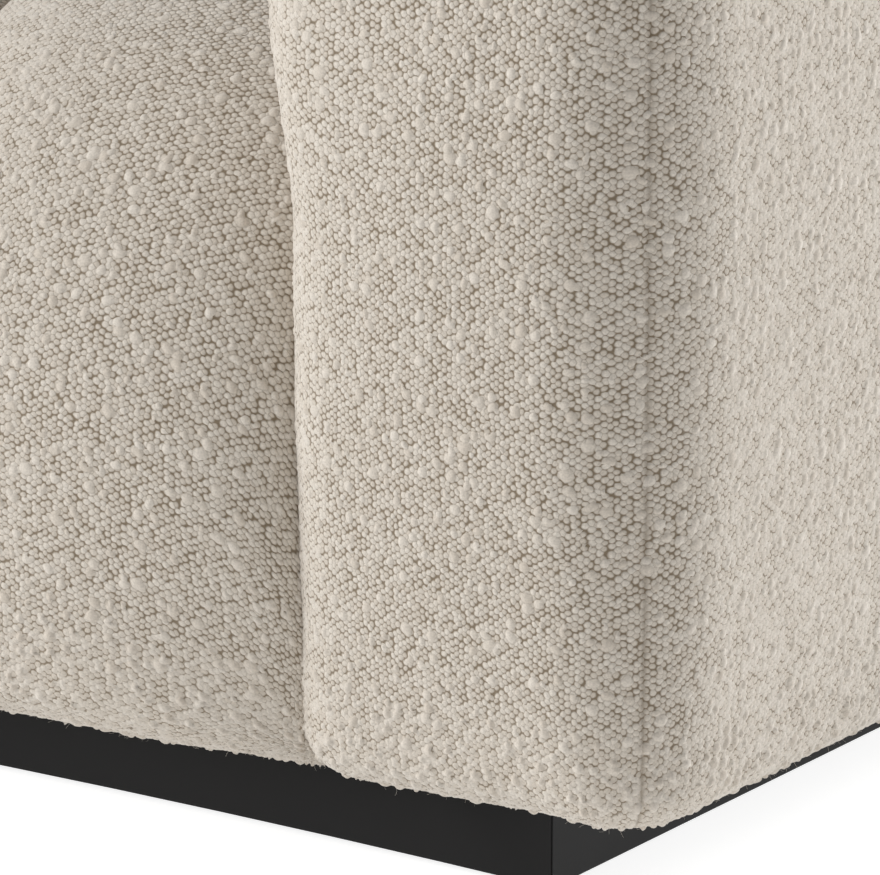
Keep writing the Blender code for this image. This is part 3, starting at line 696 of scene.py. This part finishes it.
def channel_values(across, places, distance, hem_band, fine_until):
    """Where a channel's cover has relief, gives with the foam, is tight with painted light in its gaps, and
    frays.
    """
    edge = (across[-1] - np.abs(across)) / CREASE_EASE
    ease = smooth_step(edge)[:, None] * smooth_step(places / HEM_EASE)[None, :]
    loose = np.concatenate([ease, np.zeros((len(across), len(distance) - len(places)))], 1)
    close = (fine_until > 0) * smooth_step((fine_until - distance) / FINE_FADE)
    tight = smooth_step((hem_band - distance) / HEM_TIGHT)
    fine = loose * (close * (1 + HEM_RELIEF * tight))[None, :]
    # Each channel's left flank gets lighter, thinner gaps: painted light on its lit side; its loops lie
    # flatter too.
    left = LEFT_CLOSED_AND_LIT * smooth_step((LEFT_CLOSED_FROM - across) / LEFT_CLOSED_FADE)
    closed_and_lit = np.maximum(HEM_CLOSED * tight[None, :], left[:, None])
    torn = smooth_step((distance - FRAY_FROM) / FRAY_START)
    torn = close * torn * smooth_step((FRAY_TO - distance) / FRAY_FADE)
    fray = loose * torn[None, :]
    return {"fine": fine.ravel(), "loose": loose.ravel(), "closed_and_lit": closed_and_lit.ravel(), "fray": fray.ravel()}


def channel_mesh(name, index, lines, insides, end_reach, hem_band, across_step, along_step, fine_until):
    """A watertight channel: its crowned cover from crease to crease, and a plain underside."""
    turns, across = crown_turns(CREASE_DEPTH, across_step)
    places = stations(lengths(lines[0])[-1], along_step)
    section = channel_section(index, turns, places, lines, insides, hem_band)
    reach = np.where(at_sofa_end(index, turns), np.sin(turns), 0.0) * end_reach / CHANNEL_PITCH
    share = (2 * (index + 0.5 + 0.5 * np.sin(turns) + reach) / CHANNELS - 1)[:, None]
    angle = plane_angle(share, section[..., 0], ARM_WIDTH)
    points = np.stack([
        section[..., 0] * np.sin(angle),
        section[..., 0] * np.cos(angle) + CURVE_CENTRE,
        section[..., 1],
    ], -1)
    rows, columns = angle.shape
    number = np.arange(rows * columns).reshape(rows, columns)
    following = np.roll(number, -1, axis=1)
    sides = np.stack([number[:-1], number[1:], following[1:], following[:-1]], -1).reshape(-1, 4)
    faces = [sides, number[:1], number[-1:, ::-1]]
    end_places = number.size + np.arange(2 * columns).reshape(2, columns)
    layer_faces = [sides, end_places[:1], end_places[1:, ::-1]]
    distance = np.concatenate([places, places[-1] + UNDERSIDE_SHIFT + lengths(insides[0])])
    layers = channel_layers(index, across, distance, section)
    values = channel_values(across, places, distance, hem_band, fine_until)
    return mesh_of(name, points.reshape(-1, 3), faces, layers, values, layer_faces)


seat_lines = (
    seat_line(0.0, 0.0, SEAT_HEM),
    seat_line(CREASE_DEPTH, CREASE_HEM_SINK, CREASE_HEM),
    seat_line(END_DEPTH, END_HEM_SINK, END_HEM),
)
deck = np.stack([np.linspace(SEAT_REAR, RAIL_FRONT, 8), np.full(8, DECK_LEVEL)], 1)
for i in range(CHANNELS):
    near_lens = i == CHANNELS - 1
    detail = SEAT_DETAIL if near_lens else 0.0
    step = FINE_STEP if near_lens else COARSE_STEP
    mesh = channel_mesh(
        f"seat_channel_{i + 1}_cover", i, seat_lines, (deck, deck), UNDER_ARM, HEM_BAND, step,
        lambda at: step if at < detail else COARSE_STEP, detail,
    )
    cover(f"seat_channel_{i + 1}_cover", f"seat_channel_{i + 1}", mesh)


# Back channels: six leaning rolls of the same make, tacked over the top rail to the back of the frame.
# Their outer ends are rounded down behind the arms.
BACK_HEIGHT = 0.760
BACK_LEAN = 11.0
BACK_BELLY_RISE = 0.075
BACK_FOOT_RISE = 0.006
BACK_FALL = 0.016
BACK_FRONT_ROLL = 0.085
BACK_REAR_ROLL = 0.070
BACK_LIP = 0.590
BACK_END_ROUND = 0.055
BACK_CREASE = 0.042
REAR_SINK = 0.35
FRAME_REAR = REAR_FACE - 0.0305
PANEL_FRONT = FRAME_REAR - 0.0645
OVER_RAIL = BACK_HEIGHT - 0.1245
RAIL_END_LAP = 0.002
END_SKIN = 0.0003
BACK_STEP = 0.003
SOFT_REACH = 32
CLEARANCE = 0.0005


def arc(centre, radius, start, stop, step=MILLIMETRE):
    """Points of an arc in a section, in degrees, 0 pointing backwards and 90 up."""
    count = max(int(abs(math.radians(stop - start)) * radius / step), 2)
    turn = np.radians(np.linspace(start, stop, count))
    return np.stack([centre[0] + radius * np.cos(turn), centre[1] + radius * np.sin(turn)], 1)


def run(first, last, step=MILLIMETRE):
    """Points of a straight stretch of a section, without its ends."""
    count = max(int(math.dist(first, last) / step), 3)
    return np.linspace(first, last, count)[1:-1]


def back_line():
    """Rows of radius, level and crease share, from the foot of the back over its top to the rear lip."""
    foot = (SEAT_REAR + CLEARANCE, SEAT_HEIGHT - SEAT_FALL + BACK_FOOT_RISE)
    belly = (BACK_FACE, SEAT_HEIGHT + BACK_BELLY_RISE)
    roll_level = BACK_HEIGHT - BACK_FRONT_ROLL
    face_top = BACK_FACE + (roll_level - belly[1]) * math.tan(math.radians(BACK_LEAN))
    shoulder = (BACK_FACE + (foot[0] - BACK_FACE) / 3, (foot[1] + belly[1]) / 2)
    front = (face_top + BACK_FRONT_ROLL * math.cos(math.radians(BACK_LEAN)), roll_level)
    rear = (REAR_FACE - BACK_REAR_ROLL, BACK_HEIGHT - BACK_REAR_ROLL - BACK_FALL)
    stretches = [
        (run(foot, shoulder), 0.0, 0.6),
        (run(shoulder, belly), 0.6, 1.0),
        (run(belly, (face_top, roll_level)), 1.0, 1.0),
        (arc(front, BACK_FRONT_ROLL, 180 - BACK_LEAN, 90), 1.0, 1.0),
        (run((front[0], BACK_HEIGHT), (rear[0], BACK_HEIGHT - BACK_FALL)), 1.0, 1.0),
        (arc(rear, BACK_REAR_ROLL, 90, 0), 1.0, REAR_SINK),
        (run((REAR_FACE, rear[1]), (REAR_FACE, BACK_LIP)), REAR_SINK, 0.0),
    ]
    line = np.concatenate([part for part, first, last in stretches])
    sink = np.concatenate([np.linspace(first, last, len(part)) for part, first, last in stretches])
    even = np.arange(0.0, lengths(line)[-1], MILLIMETRE)
    return soften(along_line(np.column_stack([line, sink]), even), SOFT_REACH)


def sunk_line(rows, depth):
    """A section moved inward by a depth, by the share that each row holds."""
    way = np.gradient(rows[:, :2], axis=0)
    way /= np.hypot(way[:, 0], way[:, 1])[:, None]
    return rows[:, :2] + np.stack([way[:, 1], -way[:, 0]], 1) * (depth * rows[:, 2])[:, None]


back_rows = back_line()
back_lines = (back_rows[:, :2], sunk_line(back_rows, BACK_CREASE), sunk_line(back_rows, BACK_END_ROUND))
behind = np.array([
    (FRAME_REAR, BACK_LIP),
    (FRAME_REAR, OVER_RAIL),
    (PANEL_FRONT, OVER_RAIL),
    (PANEL_FRONT, DECK_LEVEL),
    (SEAT_REAR + CLEARANCE, DECK_LEVEL),
])
over_rail_end = behind.copy()
over_rail_end[1:3, 1] = BACK_LIP + RAIL_END_LAP
for i in range(CHANNELS):
    mesh = channel_mesh(
        f"back_channel_{i + 1}_cover", i, back_lines, (behind, over_rail_end), END_SKIN, 0.0, BACK_STEP,
        lambda at: COARSE_STEP, 0.0,
    )
    cover(f"back_channel_{i + 1}_cover", f"back_channel_{i + 1}", mesh)


# Outside back: a thin padded panel over the rear of the frame, hemmed at the plinth.
# It is stretched flat between the arms.
HEM_RADIUS = 0.024
LIP_ROUND = 0.004
REAR_ROWS = 280
REAR_SHIFT = 3.1
REAR_INSIDE = 0.030
REAR_END_EASE = 0.010


def outside_back_mesh(name):
    """A watertight panel: its hem, its face and its lip, swept along the curve between the arms."""
    lip = BACK_LIP - CLEARANCE
    hem = (REAR_FACE - HEM_RADIUS, BASE_BOTTOM + HEM_RADIUS)
    line = np.concatenate([
        run((FRAME_REAR, BASE_BOTTOM), (hem[0], BASE_BOTTOM)),
        arc(hem, HEM_RADIUS, 270, 360),
        run((REAR_FACE, hem[1]), (REAR_FACE, lip)),
        [(REAR_FACE - LIP_ROUND, lip)],
    ])
    places = stations(lengths(line)[-1], lambda at: COARSE_STEP)
    section = np.concatenate([along_line(line, places), [(FRAME_REAR, lip)]])
    share = np.linspace(-1, 1, REAR_ROWS)
    end = plane_angle(1.0, section[:, 0], ARM_WIDTH + CLEARANCE)
    angle = share[:, None] * end[None, :]
    radius = np.broadcast_to(section[:, 0], angle.shape)
    level = np.broadcast_to(section[:, 1], angle.shape)
    points = np.stack([radius * np.sin(angle), radius * np.cos(angle) + CURVE_CENTRE, level], -1)
    rows, columns = angle.shape
    number = np.arange(rows * columns).reshape(rows, columns)
    following = np.roll(number, -1, axis=1)
    sides = np.stack([number[:-1], following[:-1], following[1:], number[1:]], -1).reshape(-1, 4)
    distance = np.append(places, places[-1] + REAR_INSIDE)
    cloth = np.stack(np.broadcast_arrays(angle * REAR_FACE, distance[None, :] + REAR_SHIFT), -1)
    bake = np.stack(np.broadcast_arrays((share[:, None] + 1) / 2, distance[None, :] / distance[-1]), -1)
    from_hems = np.minimum(distance, distance[-2] - distance)
    loose = smooth_step((1 - np.abs(share)) / REAR_END_EASE)[:, None] * smooth_step(from_hems / HEM_EASE)
    layers = {"cloth": cloth.reshape(-1, 2), "OFBake": bake.reshape(-1, 2)}
    values = {"fine": np.zeros(rows * columns), "loose": loose.ravel()}
    return mesh_of(name, points.reshape(-1, 3), [sides, number[:1, ::-1], number[-1:]], layers, values)


cover("outside_back_cover", "outside_back", outside_back_mesh("outside_back_cover"))


# Arms: padded block arms, a foam case in two sewn pieces with a plain seam up the outer front corner.
# The cloth is tacked under the base, so the foam swells over the hem and above the seat.
ARM_HEIGHT = 0.650
ARM_CROWN = 0.012
SIDE_FULLNESS = 0.4
FRONT_CROWN = 0.024
PLINTH_INSET = 0.117
ARM_OVERHANG = 0.066
ARM_FRONT = math.sqrt(FRONT_RADIUS ** 2 - PLINTH_INSET ** 2) - ARM_OVERHANG
ARM_REAR = math.sqrt(REAR_FACE ** 2 - ARM_WIDTH ** 2)
ARM_CORNERS = {"inner_front": 0.050, "outer_front": 0.060, "outer_rear": 0.030, "inner_rear": 0.006}
LEAST_CORNER = 0.004
CORNER_EASE = 32
EASE_STOP = 0.150
ARM_TOP_EDGE = 0.055
ARM_TOP_RIM = 0.080
ARM_TOP_MIDDLE = 0.122
ARM_TOP_RISE = 0.0004
ARM_WALL_TOP = ARM_HEIGHT - ARM_TOP_EDGE
ARM_TUCK = 0.006
ARM_TUCK_FADE = 0.060
ARM_SWELL = 0.018
ARM_SWELL_RISE = 0.120
ARM_SWELL_FADE = 0.150
HEM_LINE = ((-0.265, -0.205, -0.14, -0.09, -0.05, 0.0), (-0.009, -0.009, 0.0, 0.007, 0.002, 0.0))
HEM_LINE_FADE = 0.060
HEM_LINE_LEAST = 0.3
SEAM_SHARE = 0.56
SEAM_DEPTH = 0.0010
SEAM_WIDTH = 0.0016
SEAM_SHADE = 0.5
SEAM_RELIEF = 0.4
SEAM_HALF = 0.0003
SEAM_EASE = 0.0015
SEAM_PAST_WALL = 0.020
ARM_HEM = 0.100
ARM_FRAY = 0.045
ARM_HEM_EASE = 0.006
SIDE_CLOSED_AND_LIT = 0.8
SIDE_CLOSED_FADE = 0.070
TOP_CLOSED = 0.35
TOP_CLOSED_FADE = 0.060
TOP_BAKE = 0.88
ARM_SHIFT = 5.3
ARM_DENSE = ((math.inf, math.inf), (math.inf, 0.220), (0.0, 0.0), (0.0, 0.0))
ARM_DETAIL = 0.545
DETAIL_FADE = 0.020
ARM_SOFT_REACH = 8
ROWS_A_COARSE_ROW = 6


def bow(value, low, high):
    """1 at the middle of a range and 0 at its ends."""
    return np.maximum(0.0, 1 - ((2 * value - low - high) / (high - low)) ** 2)


def arm_columns(close):
    """Columns round the arm, and its girth.

    A column has a corner, its share of the corner's arc or of the run after it, a distance and a density.
    """
    radii = list(ARM_CORNERS.values())
    wide = ARM_WIDTH - ARM_CROWN
    deep = ARM_REAR - ARM_FRONT
    spans = [
        wide - radii[0] - radii[1],
        deep - radii[1] - radii[2],
        wide - radii[2] - radii[3],
        deep - radii[3] - radii[0],
    ]
    corner, part, on_arc, distance, dense = [], [], [], [], []
    travelled = 0.0
    for k in range(4):
        stretches = ((True, radii[k] * math.pi / 2), (False, spans[k]))
        for (curved, length), reach in zip(stretches, ARM_DENSE[k]):
            dense_to = reach if close else 0.0
            places = stations(length, lambda at: FINE_STEP if at < dense_to else COARSE_STEP)[:-1]
            corner += [k] * len(places)
            on_arc += [curved] * len(places)
            part += list(places / length)
            distance += list(travelled + places)
            dense += list(places < dense_to)
            travelled += length
    columns = {"corner": corner, "part": part, "on_arc": on_arc, "distance": distance, "dense": dense}
    return {label: np.array(values) for label, values in columns.items()}, travelled


def arm_outline(inset, columns):
    """Plan places and outward normals of the right arm's columns, inset all round."""
    corner, part, on_arc = columns["corner"], columns["part"], columns["on_arc"]
    west, east = -ARM_WIDTH + CLEARANCE + inset, -ARM_CROWN - inset
    south, north = ARM_FRONT + inset, ARM_REAR - inset
    corners = np.array([(west, south), (east, south), (east, north), (west, north)])
    into = np.array([(1, 1), (-1, 1), (-1, -1), (1, -1)])
    radii = np.maximum(np.array(list(ARM_CORNERS.values())) - inset, LEAST_CORNER)
    centres = corners + into * radii[:, None]
    turn = np.pi + corner * np.pi / 2 + np.where(on_arc, part, 1.0) * np.pi / 2
    normal = np.stack([np.cos(turn), np.sin(turn)], 1)
    place = centres[corner] + normal * radii[corner][:, None]
    after = (corner + 1) % 4
    arrive = centres[after] + normal * radii[after][:, None]
    share = np.where(on_arc, 0.0, part)[:, None]
    return place * (1 - share) + arrive * share, normal


def seat_surface(radius):
    """Crest level of the seat at a radius."""
    reach = np.clip(radius - SEAT_FACE, 0.0, SEAT_ROLL)
    return SEAT_HEIGHT - SEAT_ROLL + np.sqrt(SEAT_ROLL ** 2 - (SEAT_ROLL - reach) ** 2)


def eased_outline(x, y, distance, girth):
    """A level outline with its corners eased into the runs between them, as foam does."""
    even = np.arange(0.0, girth, MILLIMETRE)
    window = np.hanning(2 * CORNER_EASE + 1)
    window /= window.sum()
    eased = []
    for value in (x, y):
        line = np.interp(even, np.append(distance, girth), np.append(value, value[0]))
        line = np.concatenate([line[-CORNER_EASE:], line, line[:CORNER_EASE]])
        line = np.convolve(line, window, "valid")
        eased.append(np.interp(distance, np.append(even, girth), np.append(line, line[0])))
    return eased


def arm_profile():
    """Reach and level up the arm, from under its hem to the middle of its top, by rows a millimetre apart."""
    hem_arc = arc((0.0, BASE_BOTTOM + HEM_RADIUS), HEM_RADIUS, 270, 360)
    wall = run((HEM_RADIUS, BASE_BOTTOM + HEM_RADIUS), (HEM_RADIUS, ARM_WALL_TOP))
    top_arc = arc((HEM_RADIUS - ARM_TOP_EDGE, ARM_WALL_TOP), ARM_TOP_EDGE, 0, 80)
    rim = (HEM_RADIUS - ARM_TOP_RIM, ARM_HEIGHT - ARM_TOP_RISE)
    middle = (HEM_RADIUS - ARM_TOP_MIDDLE, ARM_HEIGHT)
    profile = np.concatenate([hem_arc, wall, top_arc, run(top_arc[-1], rim), run(rim, middle)])
    even = np.arange(0.0, lengths(profile)[-1], MILLIMETRE)
    return soften(along_line(profile, even), ARM_SOFT_REACH)


def arm_ring(reach, level, columns, girth, off_seam):
    """Plan places of the right arm's columns at a level: crowned, swollen and sunk at the seam."""
    height = level - BASE_BOTTOM
    inset = HEM_RADIUS - reach + ARM_TUCK * math.exp(-height / ARM_TUCK_FADE)
    plan, normal = arm_outline(inset, columns)
    x, y = plan.T
    tall = bow(level, BASE_BOTTOM, ARM_HEIGHT)
    front = smooth_step(-normal[:, 1])
    outer = smooth_step(normal[:, 0])
    inner = smooth_step((-ARM_WIDTH / 2 - x) / (ARM_WIDTH / 2))
    fade = smooth_step((BACK_FACE - CREASE_DEPTH - y) / ARM_SWELL_FADE)
    under_top = smooth_step((ARM_HEIGHT - level) / ARM_TOP_EDGE)
    above_seat = smooth_step((level - seat_surface(np.hypot(x, y))) / ARM_SWELL_RISE)
    x = x + ARM_CROWN * tall * bow(y, ARM_FRONT, ARM_REAR) ** SIDE_FULLNESS * outer
    y = y - FRONT_CROWN * tall * bow(x, -ARM_WIDTH, 0.0) * front
    y = y + front * np.interp(x, *HEM_LINE) * max(math.exp(-height / HEM_LINE_FADE), HEM_LINE_LEAST)
    x = x - ARM_SWELL * above_seat * fade * under_top * inner
    eased_x, eased_y = eased_outline(x, y, columns["distance"], girth)
    ahead = smooth_step((ARM_REAR - EASE_STOP - y) / EASE_STOP)
    groove = SEAM_DEPTH * np.exp(-(off_seam / SEAM_WIDTH) ** 2) * (level < ARM_WALL_TOP + SEAM_PAST_WALL)
    x = x + (eased_x - x) * ahead - groove * normal[:, 0]
    y = y + (eased_y - y) * ahead - groove * normal[:, 1]
    return x, y


def arm_faces(number, dense, kept):
    """Quads between columns of one density, many-cornered faces where the density changes, and two lids."""
    rows, columns = number.shape
    quads, fans = [], {}
    for column in range(columns):
        after = (column + 1) % columns
        if dense[column] == dense[after]:
            at = np.arange(rows) if dense[column] else kept
            low, high = at[:-1], at[1:]
            corners = [(low, column), (low, after), (high, after), (high, column)]
            quads.append(np.stack([number[place] for place in corners], 1))
            continue
        for low, high in zip(kept, kept[1:]):
            between = np.arange(low, high + 1)
            if dense[column]:
                face = [number[low, after], number[high, after], *number[between[::-1], column]]
            else:
                face = [*number[between, after], number[high, column], number[low, column]]
            fans.setdefault(len(face), []).append(face)
    faces = [np.concatenate(quads)] + [np.array(group) for group in fans.values()]
    return faces + [number[:1, ::-1][:, number[0, ::-1] >= 0], number[-1:][:, number[-1] >= 0]]


def arm_values(columns, girth, rises, levels, close, seam_at):
    """Where the arm's cover has relief, gives with the foam, is tight with painted light in its gaps, frays,
    and has painted shade along its seam.
    """
    distance, dense = columns["distance"], columns["dense"]
    off_seam = np.abs(distance - seam_at)
    beside_seam = SEAM_RELIEF + (1 - SEAM_RELIEF) * smooth_step((off_seam - SEAM_HALF) / SEAM_EASE)
    loose = smooth_step(rises / ARM_HEM_EASE)[:, None] * beside_seam[None, :]
    close_by = np.zeros(len(distance))
    if close:
        margin = np.minimum(np.abs(distance - distance[dense].max()), np.abs(distance - girth))
        close_by = dense * smooth_step(margin / DETAIL_FADE)
    hem = smooth_step((ARM_HEM - rises) / HEM_TIGHT)[:, None]
    fine = loose * close_by[None, :] * smooth_step((ARM_DETAIL - rises) / DETAIL_FADE)[:, None]
    # Past the seam the outer side gets flatter loops and lighter, thinner gaps: painted light where it faces
    # the right lamp.
    round_corner = smooth_step((distance - seam_at) / SIDE_CLOSED_FADE) * (columns["corner"] == 1)
    inner_edge = smooth_step((ARM_HEM - distance) / HEM_TIGHT)
    closed_and_lit = np.maximum(SIDE_CLOSED_AND_LIT * round_corner, HEM_CLOSED * inner_edge)
    closed_and_lit = np.maximum(closed_and_lit[None, :], HEM_CLOSED * hem)
    below_top = smooth_step((ARM_WALL_TOP - levels) / TOP_CLOSED_FADE)[:, None]
    return {
        "fine": fine * (1 + HEM_RELIEF * hem),
        "loose": loose,
        "closed_and_lit": TOP_CLOSED + (closed_and_lit - TOP_CLOSED) * below_top,
        "fray": loose * close_by[None, :] * smooth_step((ARM_FRAY - rises) / FRAY_FADE)[:, None],
        # Darker colour along the seam: painted shade in its groove.
        "seam_shade": SEAM_SHADE * np.exp(-(off_seam / SEAM_WIDTH) ** 2) * (levels < ARM_WALL_TOP)[:, None],
    }


def arm_mesh(name, sign, close):
    """A watertight arm: level rings from its hem to its crowned top, finer near the lens."""
    columns, girth = arm_columns(close)
    distance, dense = columns["distance"], columns["dense"]
    detail = ARM_DETAIL if close else 0.0
    profile = arm_profile()
    rises = stations(lengths(profile)[-1], lambda at: FINE_STEP if at < detail else COARSE_STEP)
    rings = along_line(profile, rises)
    rows = len(rings)
    seam_corner = distance[(columns["corner"] == 1) & columns["on_arc"]]
    seam_at = np.interp(SEAM_SHARE, [0.0, 1.0], np.sort(seam_corner)[[0, -1]])
    places = np.zeros((rows, len(distance), 3))
    for row, (reach, level) in enumerate(rings):
        x, y = arm_ring(reach, level, columns, girth, np.abs(distance - seam_at))
        places[row] = np.stack([sign * x, y, np.full_like(x, level)], 1)
    turn = -sign * HALF_ANGLE
    spun = places.copy()
    spun[..., 0] = places[..., 0] * math.cos(turn) - places[..., 1] * math.sin(turn)
    spun[..., 1] = places[..., 0] * math.sin(turn) + places[..., 1] * math.cos(turn) + CURVE_CENTRE

    kept_rows = rises >= detail
    kept_rows[::ROWS_A_COARSE_ROW] = True
    used = dense[None, :] | kept_rows[:, None]
    number = np.full(used.shape, -1)
    number[used] = np.arange(used.sum())
    faces = arm_faces(number, dense, np.flatnonzero(kept_rows))
    if sign < 0:
        faces = [face[:, ::-1] for face in faces]

    cloth = np.stack(np.broadcast_arrays(distance[None, :], rises[:, None] + ARM_SHIFT), -1)
    bake = np.stack(np.broadcast_arrays(distance[None, :] / girth, TOP_BAKE * rises[:, None] / rises[-1]), -1)
    from_rear = (ARM_REAR - places[..., 1]) / (ARM_REAR - ARM_FRONT)
    from_side = np.abs(places[..., 0]) / ARM_WIDTH
    top_bake = np.stack([from_rear, TOP_BAKE + (1 - TOP_BAKE) * from_side], -1)
    layers = {
        "cloth": np.concatenate([cloth[used], places[used][:, :2]]),
        "OFBake": np.concatenate([bake[used], top_bake[used]]),
    }
    row = np.broadcast_to(np.arange(rows)[:, None], used.shape)[used]
    first_top = np.searchsorted(rings[:, 1], ARM_WALL_TOP + ARM_TOP_EDGE / 2)
    layer_faces = [face + used.sum() * (row[face].min(1) >= first_top)[:, None] for face in faces]
    values = arm_values(columns, girth, rises, rings[:, 1], close, seam_at)
    values = {label: amounts[used] for label, amounts in values.items()}
    return mesh_of(name, spun[used], faces, layers, values, layer_faces)


for side, sign in (("left", -1), ("right", 1)):
    mesh = arm_mesh(f"arm_{side}_cover", sign, close=side == "right")
    cover(f"arm_{side}_cover", f"arm_{side}_padding", mesh)


# Photographer's set: a white floor, two large soft boxes to the sides and a soft one above.
# The lens is long and looks down at the front right corner of the plinth.
FLOOR_SIZE = 30.0
FLOOR_GLOW = (0.56, 0.85)
AMBIENT = (0.34, 1.0)
floor_paint, tree, shader = new_material("white_floor")
rays = add(tree, "LightPath")
seen = calc(tree, "MAXIMUM", rays.outputs["Is Camera Ray"], rays.outputs["Is Glossy Ray"])
seen = calc(tree, "MAXIMUM", seen, rays.outputs["Is Transmission Ray"])
feed(tree, shader, {"Base Color": linear("#c8c8c7"), "Roughness": 0.9, "Specular IOR Level": 0.0})
level = remap(tree, seen, targets=FLOOR_GLOW)
glow = add(tree, "Emission", {"Color": (1.0, 1.0, 1.0, 1.0), "Strength": level})
both = add(tree, "AddShader", {0: shader, 1: glow})
feed(tree, tree.nodes["Material Output"], {"Surface": both})
bpy.ops.mesh.primitive_plane_add(size=FLOOR_SIZE, location=(0, 0, 0))
floor = bpy.context.object
floor.name = "floor"
floor.data.materials.append(floor_paint)

world = bpy.data.worlds.new("studio")
bpy.context.scene.world = world
world.use_nodes = True
tree = world.node_tree
rays = add(tree, "LightPath")
seen = calc(tree, "MAXIMUM", rays.outputs["Is Camera Ray"], rays.outputs["Is Transmission Ray"])
strength = remap(tree, seen, targets=AMBIENT)
feed(tree, tree.nodes["Background"], {"Color": (1.0, 1.0, 1.0, 1.0), "Strength": strength})


def soft_box(name, azimuth, elevation, distance, size, power, target):
    """A square lamp that looks at a target, placed by its direction from it."""
    turn, tilt = math.radians(azimuth), math.radians(elevation)
    toward = np.array([math.sin(turn) * math.cos(tilt), -math.cos(turn) * math.cos(tilt), math.sin(tilt)])
    lamp = bpy.data.lights.new(name, "AREA")
    lamp.shape = "SQUARE"
    lamp.size = size
    lamp.energy = power
    box = bpy.data.objects.new(name, lamp)
    bpy.context.scene.collection.objects.link(box)
    box.location = np.asarray(target) + toward * distance
    box.rotation_euler = (math.radians(90 - elevation), 0.0, turn)


near_arm = (0.5, -0.2, 0.35)
soft_box("left_soft_box", -68, 27, 12.0, 8.0, 1275, near_arm)
soft_box("right_soft_box", 138, 14, 4.5, 3.0, 168, near_arm)
soft_box("top_soft_box", 0, 85, 4.0, 3.5, 10, (0.0, 0.0, 0.4))

IMAGE = (880, 875)
SENSOR = 36.0
CORNER_PIXEL = (552.0, 889.0)
CORNER_DEPTH = 3.5
METRES_A_PIXEL = 0.00055
VIEW_TURN = math.radians(34.890)
VIEW_PITCH = math.radians(16.494)
GLIDE_HEIGHT = 0.0035
corner_angle = float(plane_angle(1.0, FRONT_RADIUS, PLINTH_INSET))
plinth_corner = np.array([
    FRONT_RADIUS * math.sin(corner_angle),
    FRONT_RADIUS * math.cos(corner_angle) + CURVE_CENTRE,
    GLIDE_HEIGHT,
])
azimuth = VIEW_TURN - corner_angle
back = np.array([
    math.sin(azimuth) * math.cos(VIEW_PITCH),
    -math.cos(azimuth) * math.cos(VIEW_PITCH),
    math.sin(VIEW_PITCH),
])
right = np.array([math.cos(azimuth), math.sin(azimuth), 0.0])
up = np.cross(back, right)
aside = (CORNER_PIXEL[0] - IMAGE[0] / 2) * METRES_A_PIXEL
above = (IMAGE[1] / 2 - CORNER_PIXEL[1]) * METRES_A_PIXEL
lens = bpy.data.cameras.new("camera")
lens.sensor_fit = "HORIZONTAL"
lens.sensor_width = SENSOR
lens.lens = SENSOR * CORNER_DEPTH / METRES_A_PIXEL / IMAGE[0]
lens.clip_end = 100.0
camera = bpy.data.objects.new("camera", lens)
bpy.context.scene.collection.objects.link(camera)
stand = plinth_corner + back * CORNER_DEPTH - right * aside - up * above
camera.matrix_world = Matrix.Translation(stand) @ Matrix(np.stack([right, up, back], 1)).to_4x4()
bpy.context.scene.camera = camera
bpy.context.scene.view_settings.view_transform = "Standard"
